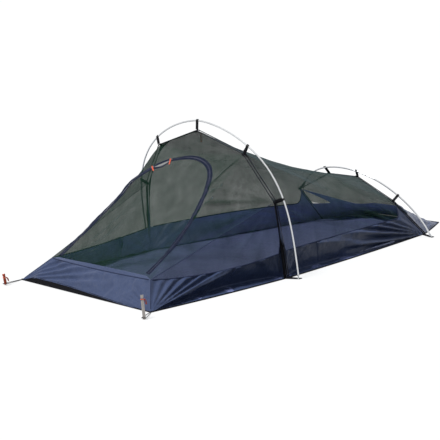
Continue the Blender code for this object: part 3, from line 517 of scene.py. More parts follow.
for side, word in SIDES:
    hem_line = [on_side(p, side) for p in floor_line]
    normals = [Vector((0.0, side, 0.35))] * len(hem_line)
    hem = ribbon([p + Vector((0.0, side * 0.0005, 0.0021)) for p in hem_line], normals, 0.0030, 0.0012)
    panel(f"floor_hem_{word}", hem, black_tape, None, around=True)


HEM_STAND = 0.004
HEM_PULL = 0.026


def hem_lift(t):
    """How high the head wall's foot is pulled off the ground, from the near corner at 0 to the far one at 1."""
    return HEM_PULL * smooth_step(t / 0.75) * smooth_step((1.0 - t) / 0.14)


for name, corner, outer in (("floor_hem_and_shade_head", HEAD, -1), ("floor_hem_foot", FOOT, 1)):
    rows = []
    for i in range(61):
        t = i / 60
        foot = lerp(on_side(corner, -1), corner, t)
        # Under the head wall the black sheet reaches up to the lifted wall foot: painted shade for the shadow
        # under it.
        stand = HEM_STAND + (hem_lift(t) if outer < 0 else 0.0)
        rows.append([
            foot + Vector((outer * (0.001 - 0.003 * h), 0.0, stand * h)) for h in (0.0, 0.25, 0.5, 0.75, 1.0)
        ])
    panel(name, grid_of(rows), black_tape, None)

# Bathtub walls.
# The same nylon stands a hand high all round, sewn to the floor and to the net above. It rises in a pointed ear
# to each side clip. Slack tucks in under the near side, and folds fan out from the pegged corners and the tabs.

RIM_HEAD = Vector((-0.765, 0.385, 0.115))
RIM_CORNER = {NEAR: RIM_HEAD, FAR: Vector((-0.765, 0.325, 0.113))}
CLIP_TOP = Vector((-0.114, 0.0, 0.662))
CLIP_SHOULDER = Vector((-0.098, 0.295, 0.571))
CLIP_SIDE = Vector((-0.060, 0.448, 0.358))
REAR_CLIP_TOP = Vector((0.920, 0.0992, 0.3136))
REAR_CLIP_SIDE = Vector((0.935, 0.326, 0.2065))
REAR_CREST = Vector((0.920, 0.0, 0.3136))
RIM_FRONT = lerp(FRONT, CLIP_SIDE, 0.1248 / 0.3568)
RIM_REAR = lerp(REAR, REAR_CLIP_SIDE, 0.1128 / 0.2053)
FRONT_EAR = {NEAR: 0.026, FAR: 0.008}
REAR_EAR = 0.110
HEAD_DIP = 0.006
SIDE_SAG = 0.012
RIM_SLACK = {NEAR: 0.026, FAR: 0.010}
REAR_RIM_RISE = {NEAR: 0.004, FAR: 0.014}
FRONT_RUN = 0.73
REAR_RUN = 1.1


def ear_share(distance, reach):
    """How far the rim has risen toward the clip, near a hoop seam."""
    return max(1.0 - abs(distance) / reach, 0.0) ** 1.7


def side_line(t):
    """The line from the front side clip to the rear one, with the sag of the net."""
    point = lerp(CLIP_SIDE, REAR_CLIP_SIDE, t)
    point.z -= SIDE_SAG * 4.0 * t * (1.0 - t)
    return point


def front_rim(t, side):
    """The rim from the head corner to the front hoop. The far corner is drawn in: the cloth there is slack."""
    point = lerp(RIM_CORNER[side], RIM_FRONT, t)
    point.z -= RIM_SLACK[side] * math.sin(math.pi * t) ** 0.8
    point.y += 0.3 * RIM_SLACK[side] * math.sin(math.pi * t)
    ear = ear_share((1.0 - t) * FRONT_RUN, FRONT_EAR[side])
    return lerp(point, lerp(RIM_CORNER[side], CLIP_SIDE, t), ear)


def rear_rim(t, side):
    """The rim from the front hoop to the rear one."""
    point = lerp(RIM_FRONT, RIM_REAR, t)
    point.z += REAR_RIM_RISE[side] * math.sin(math.pi * t)
    ear = max(ear_share(t * REAR_RUN, FRONT_EAR[side]), ear_share((1.0 - t) * REAR_RUN, REAR_EAR))
    return lerp(point, side_line(t), ear)


def wall_column(foot, rim, strip, crest_in, crest_z, steps=56):
    """Points up one wall: a strip on the ground, the tucked slack under a crest, and the rise to the rim."""
    inward = -1.0 if foot.y > 0 else 1.0

    def place(inset, z):
        return Vector((foot.x + (rim.x - foot.x) * z / rim.z, foot.y + inward * inset, z))

    crest = place(crest_in, crest_z) if crest_z < rim.z * 0.97 else lerp(rim, foot, 0.03)
    corners = [foot, place(strip, foot.z + 0.005 * min(strip / 0.02, 1.0)), crest, rim]
    column = []
    for i in range(steps + 1):
        h = i / steps * 3.0
        k = min(int(h), 2)
        column.append(lerp(corners[k], corners[k + 1], h - k))
    grid = np.array([tuple(p) for p in column])
    for _ in range(3):
        grid[1:-1] = 0.25 * grid[:-2] + 0.5 * grid[1:-1] + 0.25 * grid[2:]
    return grid


# Rows for the near walls: places along them, the reach of the ground strip, and the crest's reach and height.
FRONT_SLACK = (
    (0.0, 0.136, 0.288, 0.46, 0.57, 0.645, 0.785, 0.91, 1.0),
    (0.0, 0.036, 0.066, 0.090, 0.094, 0.094, 0.084, 0.070, 0.018),
    (0.0, 0.014, 0.026, 0.036, 0.044, 0.050, 0.050, 0.040, 0.014),
    (0.0, 0.026, 0.046, 0.069, 0.086, 0.1, 0.12, 0.14, 0.2),
)
REAR_SLACK = (
    (0.0, 0.08, 0.2, 0.4, 0.6, 0.8, 1.0),
    (0.018, 0.055, 0.056, 0.044, 0.034, 0.022, 0.0),
    (0.014, 0.016, 0.016, 0.014, 0.010, 0.005, 0.0),
    (0.2, 0.16, 0.13, 0.095, 0.066, 0.034, 0.0),
)
FAR_SLACK = 0.35
FRONT_FAN = ((8, 0.0), (10.6, 0.5), (12.2, 1.0), (13.8, -1.1), (16.5, 0.9), (18.6, -1.2), (22.5, 0.8),
             (26.5, -1.0), (31.5, 0.8), (37.0, -0.7), (44.0, 0.6), (53.0, -0.4), (62.0, 0.0))
REAR_FAN = ((0.0, 0.0), (1.5, -0.7), (3.4, 0.8), (5.0, -0.9), (7.2, 1.2), (9.2, -1.3), (11.2, 1.1), (13.0, -1.0),
            (15.0, 0.8), (17.2, -0.7), (19.5, 0.6), (22.5, -0.5), (27.0, 0.4), (33.0, 0.0))
POLE_FAN = ((10.0, 0.0), (20.0, 0.5), (30.0, -0.5), (40.0, 0.5), (50.0, -0.6), (60.0, 0.5), (70.0, -0.6),
            (80.0, 0.5), (90.0, 0.0))


def wall_points(start, end, bulge, rim, slack, side, count):
    """A grid of points up a wall. The far wall has less slack tucked under it than the near one."""
    depth = 1.0 if side == NEAR else FAR_SLACK
    columns = []
    for i in range(count + 1):
        t = i / count
        strip, crest_in, crest_z = (float(np.interp(t, slack[0], row)) for row in slack[1:])
        foot = on_side(floor_edge(start, end, t, bulge), side)
        edge = on_side(rim(t, side), side)
        columns.append(wall_column(foot, edge, strip * depth, crest_in * depth, crest_z))
    return grid_of(columns)


for side, word in SIDES:
    tab_corner = on_side(FRONT, side)
    points = wall_points(HEAD, FRONT, 0.008, front_rim, FRONT_SLACK, side, 240)
    heights = fan(points, on_side(HEAD, side), (1, 0, 0), FRONT_FAN, 0.036 if side == NEAR else 0.012, 0.66)
    heights += fan(points, tab_corner, (-1, 0, 0), POLE_FAN, 0.040, 0.40)
    heights += rumple(points, 0.004, 0.07, 3 + side)
    points = lift(points, heights, (0.20, 0.04, 0.02, 0.03))
    panel(f"front_wall_cloth_{word}", points, wall_nylon, f"front_wall_{word}")

    points = wall_points(FRONT, REAR, 0.010, rear_rim, REAR_SLACK, side, 320)
    heights = fan(points, on_side(REAR, side), (-1, 0, 0), REAR_FAN, 0.048 if side == NEAR else 0.012, 0.80)
    heights += fan(points, tab_corner, (1, 0, 0), POLE_FAN, 0.040, 0.45)
    heights += rumple(points, 0.004, 0.08, 6 + side)
    points = lift(points, heights, (0.20, 0.04, 0.03, 0.02))
    panel(f"side_wall_cloth_{word}", points, wall_nylon, f"side_wall_{word}")

HEAD_FAN = ((0.0, 0.0), (3.5, -0.5), (7.5, 0.9), (9.5, -1.0), (12.5, 0.9), (15.0, -1.1), (19.0, 1.0),
            (22.5, -1.1), (27.0, 1.0), (31.0, -1.0), (36.0, 0.8), (42.0, -0.5), (50.0, 0.0))
PUCKERS = (
    ((-0.765, -0.060, 0.112), (-0.790, -0.085, 0.060), -0.003, 0.014),
    ((-0.765, -0.165, 0.112), (-0.797, -0.205, 0.045), -0.004, 0.014),
    ((-0.765, -0.270, 0.112), (-0.805, -0.300, 0.030), -0.004, 0.014),
    ((-0.843, 0.468, 0.0), (-0.800, 0.050, 0.060), -0.006, 0.010),
    ((-0.820, 0.250, 0.020), (-0.815, -0.050, 0.030), -0.005, 0.010),
)


def head_rim(t):
    """The rim of the head wall, from the near corner at 0 to the far one at 1."""
    rim = lerp(on_side(RIM_CORNER[NEAR], NEAR), RIM_CORNER[FAR], t)
    rim.z -= HEAD_DIP * math.sin(math.pi * t)
    return rim


columns = []
for i in range(181):
    t = i / 180
    foot = lerp(on_side(HEAD, -1), HEAD, t)
    foot.z += hem_lift(t)
    columns.append([lerp(foot, head_rim(t), h / 40) for h in range(41)])
points = grid_of(columns)
heights = fan(points, HEAD, (0, -1, 0), HEAD_FAN, 0.020, 0.66)
heights += fan(points, on_side(HEAD, -1), (0, 1, 0), HEAD_FAN, 0.008, 0.25)
heights += creases(points, PUCKERS) + rumple(points, 0.006, 0.10, 11)
points = lift(points, heights, (0.06, 0.10, 0.03, 0.03))
panel("head_wall_cloth", points, wall_nylon, "head_wall")

# Foot end.
# Nylon closes the low end up to the height of the walls, from the rear hoop seam down to the narrow foot edge of
# the floor. Above it the slope is net, sewn in with the canopy.

rear_seam = [on_side(REAR, -1), on_side(REAR_CLIP_SIDE, -1), on_side(REAR_CLIP_TOP, -1), REAR_CREST,
             REAR_CLIP_TOP, REAR_CLIP_SIDE, REAR]
foot_line = [lerp(on_side(FOOT, -1), FOOT, share) for share in (0.0, 0.16, 0.36, 0.5, 0.64, 0.84, 1.0)]
seam_knots = length_knots(rear_seam)


def by_knots(knots, values, part):
    """The point at a place between the knots of a list of points."""
    return Vector([float(np.interp(part, knots, [v[k] for v in values])) for k in range(3)])


FOOT_FAN = ((0.0, 0.0), (6.0, 0.7), (11.0, -0.8), (17.0, 0.9), (23.0, -0.8), (30.0, 0.8), (38.0, -0.7),
            (47.0, 0.6), (58.0, -0.5), (70.0, 0.0))
FOOT_RIM = 0.122
FOOT_INSIDE = (1.0, 0.0, 0.03)


def foot_end(u, t):
    """The sloping foot end: u runs along the rear seam from the near tab to the far one, t down from it."""
    point = lerp(by_knots(seam_knots, rear_seam, u), by_knots(seam_knots, foot_line, u), t)
    point.z -= 0.012 * 4.0 * t * (1.0 - t) * math.sin(math.pi * u)
    return point


def foot_rim(u):
    """Where the nylon ends and the net begins on the foot end, as a share of the way down from the seam."""
    seam_height = by_knots(seam_knots, rear_seam, u).z
    height = FOOT_RIM - 0.016 * float(smooth_step((u - 0.5) / 0.2))
    drop = max(1.0 - height / seam_height, 0.0)
    clip = seam_knots[1] if u < 0.5 else seam_knots[-2]
    return drop * (1.0 - ear_share(u - clip, 0.07))


def foot_folds(points):
    heights = rumple(points, 0.004, 0.10, 15)
    for side, _ in SIDES:
        run = (FOOT - REAR) * Vector((1.0, side, 1.0))
        heights += fan(points, on_side(REAR, side), run, FOOT_FAN, 0.014, 0.40)
        heights += fan(points, on_side(FOOT, side), -run, FOOT_FAN, 0.012, 0.40)
    return heights


points = np.array([
    [tuple(foot_end(i / 160, foot_rim(i / 160) + (1.0 - foot_rim(i / 160)) * j / 60)) for i in range(161)]
    for j in range(61)
])
points = lift(points, foot_folds(points), (0.05, 0.10, 0.03, 0.03), FOOT_INSIDE)
points[..., 2] = np.maximum(points[..., 2], 0.0014)
panel("foot_wall_cloth", points, wall_nylon, "foot_panel",
      FOOT_INSIDE)

# Net canopy.
# Fine dark insect net, knitted in small open cells. One long sheet hangs between the hoops, one closes the head
# end round the door, and a small one fills each side. It is drawn tight to the clips and sags between them.

open_net, net_in, net_out = new_group(
    "open_net", {"Cell": 0.0013, "Thread": 0.34}, ("Threads", "Tone", "Gathers")
)
open_net.links.new(object_noise(open_net, 1.0, 3.0, drawn_out=(16.0, 16.0, 3.0)), net_out["Gathers"])
open_net.links.new(metre_lines(open_net, net_in["Cell"], net_in["Thread"]), net_out["Threads"])
open_net.links.new(object_noise(open_net, 3.5, 2.0), net_out["Tone"])

NET_COVER = 0.53
NET_COVER_THREAD = 0.77
NET_SHADOW = 0.10


def netting(name, colour, pale):
    """See-through net: its cover rises where it is seen aslant, and light passes between its threads."""
    made, tree, shader = principled(name, colour, 0.75, 0.0, Specular_IOR_Level=0.04, Sheen_Weight=0.26,
                                    Sheen_Roughness=0.30, Sheen_Tint=(0.60, 0.78, 1.0, 1.0))
    knit = add_node(tree, "ShaderNodeGroup", node_tree=open_net).outputs
    tree.links.new(mix_colours(tree, knit["Tone"], colour, pale), shader.inputs["Base Color"])
    cover = math_node(tree, "MULTIPLY_ADD", knit["Threads"], NET_COVER_THREAD - NET_COVER, NET_COVER)
    cover = math_node(tree, "MULTIPLY_ADD", knit["Gathers"], 0.30, math_node(tree, "SUBTRACT", cover, 0.16))
    folded = add_node(tree, "ShaderNodeAttribute", attribute_name="folds").outputs["Fac"]
    cover = math_node(tree, "MINIMUM", math_node(tree, "MULTIPLY_ADD", folded, 0.16, cover), 1.0)
    aslant = add_node(tree, "ShaderNodeLayerWeight", {"Blend": 0.17}).outputs["Facing"]
    open_share = math_node(tree, "SUBTRACT", 1.0, cover)
    closing = math_node(tree, "SUBTRACT", 1.0, aslant)
    cover = math_node(tree, "SUBTRACT", 1.0, math_node(tree, "MULTIPLY", open_share, closing))
    in_shadow = add_node(tree, "ShaderNodeLightPath").outputs["Is Shadow Ray"]
    shaded = math_node(tree, "MULTIPLY_ADD", in_shadow, NET_SHADOW / NET_COVER - 1.0, 1.0)
    tree.links.new(math_node(tree, "MULTIPLY", cover, shaded), shader.inputs["Alpha"])
    return made


dark_net = netting("dark_net_knit", (0.004, 0.0165, 0.010), (0.008, 0.025, 0.015))


def canopy_line(k, t, side):
    """The control lines of the long net, from the rim up to the ridge."""
    if k == 0:
        return rear_rim(t, side)
    if k == 1:
        return side_line(t)
    if k == 2:
        # The crease of the roof leaves the shoulder clip and runs down to the rear tab.
        last = lerp(REAR_CLIP_SIDE, REAR_CLIP_TOP, 0.12)
        return lerp(lerp(CLIP_SHOULDER, REAR, t), lerp(CLIP_SHOULDER, last, t), smooth_step((t - 0.35) / 0.45))
    if k == 3:
        point = lerp(CLIP_SHOULDER, REAR_CLIP_TOP, t)
        point.z -= 0.018 * 4.0 * t * (1.0 - t)
        return lerp(lerp(canopy_line(2, t, side), canopy_line(4, t, side), 0.4), point, smooth_step(t / 0.9))
    point = lerp(CLIP_TOP, REAR_CREST, t)
    point.z -= 0.040 * 4.0 * t * (1.0 - t)
    return point


def rounded(values, part, tension):
    """A curve through control points: straight runs where the tension is 1, smooth where it is 0."""
    knots = length_knots(values)
    k = int(np.clip(np.searchsorted(knots, part) - 1, 0, len(values) - 2))
    width = knots[k + 1] - knots[k]
    if width < 1e-6:
        return values[k].copy()
    s = (part - knots[k]) / width
    chord = values[k + 1] - values[k]
    before = (values[k + 1] - values[k - 1]) * (width / (knots[k + 1] - knots[k - 1])) if k else chord
    after = (values[k + 2] - values[k]) * (width / (knots[k + 2] - knots[k])) if k + 2 < len(values) else chord
    before, after = lerp(before, chord, tension), lerp(after, chord, tension)
    s2, s3 = s * s, s * s * s
    return (values[k] * (2 * s3 - 3 * s2 + 1) + before * (s3 - 2 * s2 + s)
            + values[k + 1] * (3 * s2 - 2 * s3) + after * (s3 - s2))


NET_FAN = ((0.0, 0.0), (9.0, 0.4), (12.0, -0.6), (14.5, 0.8), (16.0, -0.8), (18.0, 0.8), (19.5, -0.7),
           (21.5, 0.7), (24.0, -0.6), (28.0, 0.5), (33.0, -0.3), (40.0, 0.0))
EAR_FAN = ((0.0, 0.0), (8.0, 0.7), (15.0, -0.8), (22.0, 0.8), (30.0, -0.7), (40.0, 0.6), (52.0, -0.5),
           (66.0, 0.5), (80.0, 0.0))
rows = []
for j in range(201):
    t = j / 200
    halves = []
    for side in (NEAR, FAR):
        halves.append([on_side(canopy_line(k, t, side), side) for k in range(5)])
    section = halves[0] + halves[1][-2::-1]
    tension = 1.0 - 0.75 * math.sin(math.pi * t) ** 0.6
    rows.append([tuple(rounded(section, i / 200, tension)) for i in range(201)])
points = np.array(rows)
pleats = fan(points, on_side(REAR, NEAR), (-1, 0, 0), NET_FAN, 0.012, 0.80, 0.10)
pleats += fan(points, on_side(CLIP_SIDE, NEAR), (1, 0, -0.15), EAR_FAN, 0.020, 0.35)
pleats += fan(points, on_side(REAR_CLIP_TOP, NEAR), (-1, 0, 0.1), EAR_FAN, 0.012, 0.50)
pleats += fan(points, on_side(REAR, FAR), (-1, 0, 0), NET_FAN, 0.006, 0.80, 0.10)
points = lift(points, pleats + rumple(points, 0.003, 0.25, 21), (0.03, 0.03, 0.02, 0.02))
panel("canopy_cloth", points, dark_net, "canopy_net",
      pleats=pleats)

first = seam_knots[1] * FOOT_RIM / REAR_CLIP_SIDE.z
places = [first + (1.0 - 2.0 * first) * i / 160 for i in range(161)]
points = np.array([[tuple(foot_end(u, foot_rim(u) * j / 40)) for u in places] for j in range(41)])
points = lift(points, rumple(points, 0.003, 0.15, 17), (0.05, 0.05, 0.05, 0.05), FOOT_INSIDE)
panel("foot_net_cloth", points, dark_net, None,
      FOOT_INSIDE)

for side, word in SIDES:
    columns = []
    for i in range(121):
        t = i / 120
        low = on_side(front_rim(t, side), side)
        high = on_side(lerp(RIM_CORNER[side], CLIP_SIDE, t), side)
        columns.append([lerp(low, high, h / 50) for h in range(51)])
    points = grid_of(columns)
    pleats = fan(points, on_side(CLIP_SIDE, side), (-1, 0, -0.35), EAR_FAN, 0.020 if side == NEAR else 0.006, 0.45)
    pleats += fan(points, on_side(RIM_CORNER[side], side), (1, 0, 0.05), EAR_FAN, 0.010, 0.50)
    points = lift(points, pleats + rumple(points, 0.003, 0.12, 31 + side), (0.05, 0.05, 0.05, 0.05))
    panel(f"side_net_cloth_{word}", points, dark_net, f"side_net_{word}",
          pleats=pleats)

# Head net and door.
# The head end is a sloping net panel with an arched doorway. The door is a flap of the same net over a low
# nylon sill, and its edge is drawn in where the zip stands open between the two sliders.

DOOR_TOP_RADIUS = 0.260
DOOR_TOP_CENTRE = 0.485
DOOR_ARC_JOIN = math.radians(30.0)
DOOR_SIDE_RADIUS = 0.930
DOOR_SILL = 0.016
DOOR_SLACK_TOP = 0.585
DOOR_SAG = 0.040
DOOR_DRAWN_IN = 0.052
PEAK = 0.775
slope = Vector((CLIP_SHOULDER.x - RIM_HEAD.x, 0.0, CLIP_SHOULDER.z - RIM_HEAD.z)).normalized()
door_out = Vector((-slope.z, 0.0, slope.x))
door_inside = (-0.1, 0.0, 0.1)


def on_door(u, v, n=0.0):
    """A point of the sloping panel: u across, v up the slope from the rim, n out of the tent.

    Below the sliders the far side is slack: it sags inwards, and its foot is drawn in with the corner of the rim.
    """
    share = float(smooth_step(u / 0.30))
    low = min(max(v / DOOR_SLACK_TOP, 0.0), 1.0)
    sag = DOOR_SAG * share * math.sin(math.pi * low) ** 0.8 * float(smooth_step((1.0 - low) / 0.2))
    drawn = DOOR_DRAWN_IN * share * (1.0 - low) ** 1.5
    return Vector((RIM_HEAD.x, u - drawn, RIM_HEAD.z)) + slope * v + door_out * (n - sag)


arc_join = Vector((math.cos(DOOR_ARC_JOIN), math.sin(DOOR_ARC_JOIN)))
side_centre = Vector((0.0, DOOR_TOP_CENTRE)) + arc_join * (DOOR_TOP_RADIUS - DOOR_SIDE_RADIUS)
first_angle = math.asin((DOOR_SILL - side_centre.y) / DOOR_SIDE_RADIUS)
leg_length = DOOR_SIDE_RADIUS * (DOOR_ARC_JOIN - first_angle)
arch_length = 2.0 * leg_length + DOOR_TOP_RADIUS * (math.pi - 2.0 * DOOR_ARC_JOIN)
leg_share = leg_length / arch_length


def arch_point(part, offset=0.0):
    """The door arch in the panel's plane, from its far foot at 0 to its near foot at 1, with the way out there."""
    goal = min(part, 1.0 - part) * arch_length
    flip = 1.0 if part <= 0.5 else -1.0
    if goal <= leg_length:
        a = first_angle + goal / DOOR_SIDE_RADIUS
        out = Vector((math.cos(a), math.sin(a)))
        spot = side_centre + out * (DOOR_SIDE_RADIUS + offset)
    else:
        a = DOOR_ARC_JOIN + (goal - leg_length) / DOOR_TOP_RADIUS
        out = Vector((math.cos(a), math.sin(a)))
        spot = Vector((0.0, DOOR_TOP_CENTRE)) + out * (DOOR_TOP_RADIUS + offset)
    return Vector((flip * spot.x, spot.y)), Vector((flip * out.x, out.y))


def head_rows(part):
    """Control points from the arch out to the sewn edge of the head net, at a share of the arch."""
    spot, _ = arch_point(part)
    inner = on_door(spot.x, spot.y)
    side = 1 if part < 0.5 else -1
    rim, clip, shoulder = (on_side(p, side) for p in (RIM_CORNER[side], CLIP_SIDE, CLIP_SHOULDER))
    a = min(part, 1.0 - part)
    if a < leg_share:
        share = a / leg_share
        outer = along([rim, clip, shoulder], share)
        taut = lerp(rim, shoulder, share)
        pull = smooth_step((share - 0.75) / 0.25) if side == FAR else 1.0
        return [inner, lerp(lerp(inner, outer, 0.55), taut, pull), outer]
    share = (a - leg_share) / (0.5 - leg_share)
    return [inner, lerp(shoulder, on_door(0.0, PEAK), share), lerp(shoulder, CLIP_TOP, share)]


PULL_FAN = ((0.0, 0.0), (5.0, 0.6), (9.0, -0.6), (12.0, 0.8), (16.0, -0.7), (21.0, 0.9), (24.0, -0.8),
            (30.0, 0.7), (35.0, -0.6), (42.0, 0.6), (50.0, 0.0))
columns = []
for i in range(281):
    inner, middle, outer = head_rows(i / 280)
    column = []
    for j in range(45):
        w = j / 44
        column.append(lerp(inner, middle, w / 0.55) if w < 0.55 else lerp(middle, outer, (w - 0.55) / 0.45))
    columns.append(column)
points = grid_of(columns)
pleats = fan(points, on_side(CLIP_SIDE, NEAR), (-1, 0, 0.1), PULL_FAN, 0.024, 0.55)
pleats += fan(points, on_side(CLIP_SHOULDER, NEAR), (-1, 0, -0.9), PULL_FAN, 0.008, 0.45)
pleats += fan(points, on_side(RIM_HEAD, NEAR), (1, 0, 0.35), EAR_FAN, 0.008, 0.55)
pleats += fan(points, RIM_CORNER[FAR], (1, 0, 0.6), PULL_FAN, 0.010, 0.60)
# Single creases run from the two near clips to the door arch, straight as seen along the tent.
along_tent = np.array((0.0, 1.0, 1.0))
pleats += creases(points * along_tent, [
    (np.array(on_side(clip, NEAR)) * along_tent, np.array(on_door(u, v)) * along_tent, 0.0045, 0.006)
    for clip, u, v in ((CLIP_SIDE, -0.262, 0.50), (CLIP_SIDE, -0.250, 0.60), (CLIP_SIDE, -0.262, 0.36),
                       (CLIP_SHOULDER, -0.255, 0.56), (CLIP_SHOULDER, -0.230, 0.34))
])
points = lift(points, pleats + rumple(points, 0.004, 0.15, 41), (0.10, 0.05, 0.03, 0.03), door_inside)
panel("head_net_cloth", points, dark_net, "head_net",
      door_inside, pleats=pleats)

foot_spot, _ = arch_point(0.0)
columns = []
for i in range(121):
    t = i / 120
    top_edge = on_door((2.0 * t - 1.0) * foot_spot.x, DOOR_SILL - 0.001)
    columns.append([lerp(head_rim(t), top_edge, h / 4) + door_out * 0.0004 for h in range(5)])
panel("door_sill", grid_of(columns), wall_nylon, None, door_inside)

SLIDER_ANGLES = (math.radians(39.0), math.radians(61.0))
SLIT = 0.022


def slit(part):
    """How far the flap's edge is drawn in between the two sliders."""
    a = DOOR_ARC_JOIN + (part * arch_length - leg_length) / DOOR_TOP_RADIUS
    first, last = SLIDER_ANGLES
    return SLIT * math.sin(math.pi * (a - first) / (last - first)) if first < a < last else 0.0


rows = []
for j in range(91):
    t = 0.5 * j / 90
    near_spot, _ = arch_point(1.0 - t)
    far_spot, far_out = arch_point(t)
    far_spot = far_spot - far_out * slit(t)
    rows.append([tuple(on_door(*lerp(near_spot, far_spot, i / 100))) for i in range(101)])
points = np.array(rows)
heights = -np.abs(rumple(points, 0.010, 0.30, 51))
for side in (NEAR, FAR):
    heights += fan(points, on_door(side * foot_spot.x, DOOR_SILL), (1, 0, 0.6), EAR_FAN, 0.016, 0.45)
points = lift(points, heights, (0.10, 0.02, 0.12, 0.12), door_inside)
panel("door_cloth", points, dark_net, "door_flap", door_inside, body="door_flap")

# Door zip.
# Two woven navy tapes lie along the arch, one on the head net, one on the flap, with a nylon coil between.
# Two small steel sliders run on the coil, each with a flat orange pull.

zip_tape = woven("zip_tape", (0.005, 0.008, 0.020), (0.022, 0.030, 0.062), 0.42, 0.0012, 0.6)
TAPE_HALF = 0.0062


def zip_point(part, offset, on_flap):
    """A point of the zip with the way out there. On the flap it follows the slit between the sliders."""
    spot, out = arch_point(part, offset)
    if on_flap and part < 0.5:
        spot = spot - out * slit(part)
    return spot, out


def tape_points(offset, on_flap):
    """Rings of a tape that waves a little on its way round the arch."""
    path, normals = [], []
    for i in range(261):
        part = 0.006 + 0.988 * i / 260
        spot, out = zip_point(part, offset, on_flap)
        # The tape lies flat where the lower slider stops.
        loose = min(abs(part - leg_share) / 0.04, 1.0)
        wave = 0.0005 * math.sin(i * 0.9) + 0.0004 * math.sin(i * 0.37 + offset * 900.0)
        path.append(on_door(spot.x, spot.y, 0.0010 + wave * loose))
        lean = out * 0.25 * loose * math.sin(i * 0.21 + offset * 300.0)
        normals.append(door_out + Vector((0.0, lean.x, 0.0)) + slope * lean.y)
    return ribbon(path, normals, TAPE_HALF, 0.0007)


panel("zip_tape_outer", tape_points(0.0070, False), zip_tape, "zip_tape_frame",
      around=True)
panel("zip_tape_inner", tape_points(-0.0070, True), zip_tape, "zip_tape_flap",
      body="door_flap", around=True)

small_row = bpy.data.node_groups.new("row_of_small_pieces", "GeometryNodeTree")
row_inputs = {}
for label, kind in (("Geometry", "Geometry"), ("Spacing", "Float"), ("Radius", "Float"), ("Length", "Float"),
                    ("Finish", "Material")):
    socket = small_row.interface.new_socket(label, in_out="INPUT", socket_type="NodeSocket" + kind)
    row_inputs[label] = socket.identifier
small_row.interface.new_socket("Geometry", in_out="OUTPUT", socket_type="NodeSocketGeometry")
given = small_row.nodes.new("NodeGroupInput").outputs
line = add_node(small_row, "GeometryNodeMeshToCurve", {"Mesh": given["Geometry"]}).outputs["Curve"]
cut = {"Curve": line, "Length": given["Spacing"]}
spaced = add_node(small_row, "GeometryNodeResampleCurve", cut, mode="LENGTH").outputs["Curve"]
cylinder = {"Vertices": 6, "Radius": given["Radius"], "Depth": given["Length"]}
one_piece = add_node(small_row, "GeometryNodeMeshCylinder", cylinder).outputs["Mesh"]
aim = add_node(small_row, "GeometryNodeInputNamedAttribute", {"Name": "aim"}, data_type="FLOAT_VECTOR")
aimed = {"Vector": aim.outputs["Attribute"]}
turned = add_node(small_row, "FunctionNodeAlignRotationToVector", aimed, axis="Z").outputs["Rotation"]
placed = add_node(small_row, "GeometryNodeInstanceOnPoints",
                  {"Points": spaced, "Instance": one_piece, "Rotation": turned}).outputs["Instances"]
real = add_node(small_row, "GeometryNodeRealizeInstances", {"Geometry": placed}).outputs["Geometry"]
finished = add_node(small_row, "GeometryNodeSetMaterial", {"Geometry": real, "Material": given["Finish"]})
add_node(small_row, "NodeGroupOutput", {"Geometry": finished.outputs["Geometry"]})


def row_of(name, lines, spacing, radius, length, look, body):
    """Small round pieces set at a spacing along lines of (point, aim), made one plain mesh."""
    mesh = bpy.data.meshes.new(name)
    spots, edges, aims = [], [], []
    for line in lines:
        edges += [(len(spots) + i, len(spots) + i + 1) for i in range(len(line) - 1)]
        spots += [tuple(point) for point, _ in line]
        aims += [tuple(way) for _, way in line]
    mesh.from_pydata(spots, edges, [])
    mesh.attributes.new("aim", "FLOAT_VECTOR", "POINT").data.foreach_set("vector", np.array(aims).ravel())
    source = in_scene(name + "_line", mesh)
    step = source.modifiers.new("row", "NODES")
    step.node_group = small_row
    for label, value in (("Spacing", spacing), ("Radius", radius), ("Length", length), ("Finish", look)):
        step[row_inputs[label]] = value
    ready = source.evaluated_get(bpy.context.evaluated_depsgraph_get())
    made = in_scene(name, bpy.data.meshes.new_from_object(ready))
    bpy.data.objects.remove(source)
    made.data.shade_smooth()
    made.data.set_sharp_from_angle(angle=math.radians(50.0))
    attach(made, body)


coil_nylon = scuffed("coil_nylon", (0.016, 0.019, 0.055), (0.050, 0.056, 0.110), 0.35, 0.0, 0.1, 200.0, 1500.0)
for name, offset, on_flap, body in (
    ("zip_coil_outer", 0.0009, False, "tent_body"), ("zip_coil_inner", -0.0009, True, "door_flap"),
):
    line = []
    for i in range(241):
        spot, out = zip_point(0.008 + 0.984 * i / 240, offset, on_flap)
        line.append((on_door(spot.x, spot.y, 0.0016), Vector((0.0, out.x, 0.0)) + slope * out.y))
    row_of(name, [line], 0.0021, 0.0007, 0.0026, coil_nylon, body)

slider_steel = scuffed("slider_steel", (0.42, 0.43, 0.45), (0.30, 0.31, 0.33), 0.34, 1.0, 0.2, 300.0, 2000.0)
pull_orange = scuffed("pull_orange", (0.78, 0.105, 0.035), (0.62, 0.070, 0.025), 0.48, 0.0, 0.2, 200.0, 1200.0)
finish_nodes(slider_steel, "zip_slider_1", "zip_slider_2")
finish_nodes(pull_orange, "zip_pull_1", "zip_pull_2")

# Seam bindings.
# A folded black tape is sewn over each hoop seam, from tab to tab through the clip points, and a finer navy one
# over the seams of the head corners and along the rim of the walls. Two stitch lines hold each hoop tape.

seam_thread = scuffed("seam_thread", (0.030, 0.034, 0.060), (0.060, 0.065, 0.100), 0.6, 0.0, 0.1, 300.0, 1500.0)


def radial(point, low=0.10):
    """The way out of the tent across its section."""
    return Vector((0.0, point.y, max(point.z - low, 0.0))).normalized()


def dense(values, step):
    """A polyline cut fine, its corners kept."""
    fine = []
    for a, b in zip(values, values[1:]):
        count = max(int((b - a).length / step), 1)
        fine += [lerp(a, b, i / count) for i in range(count)]
    return fine + [values[-1]]


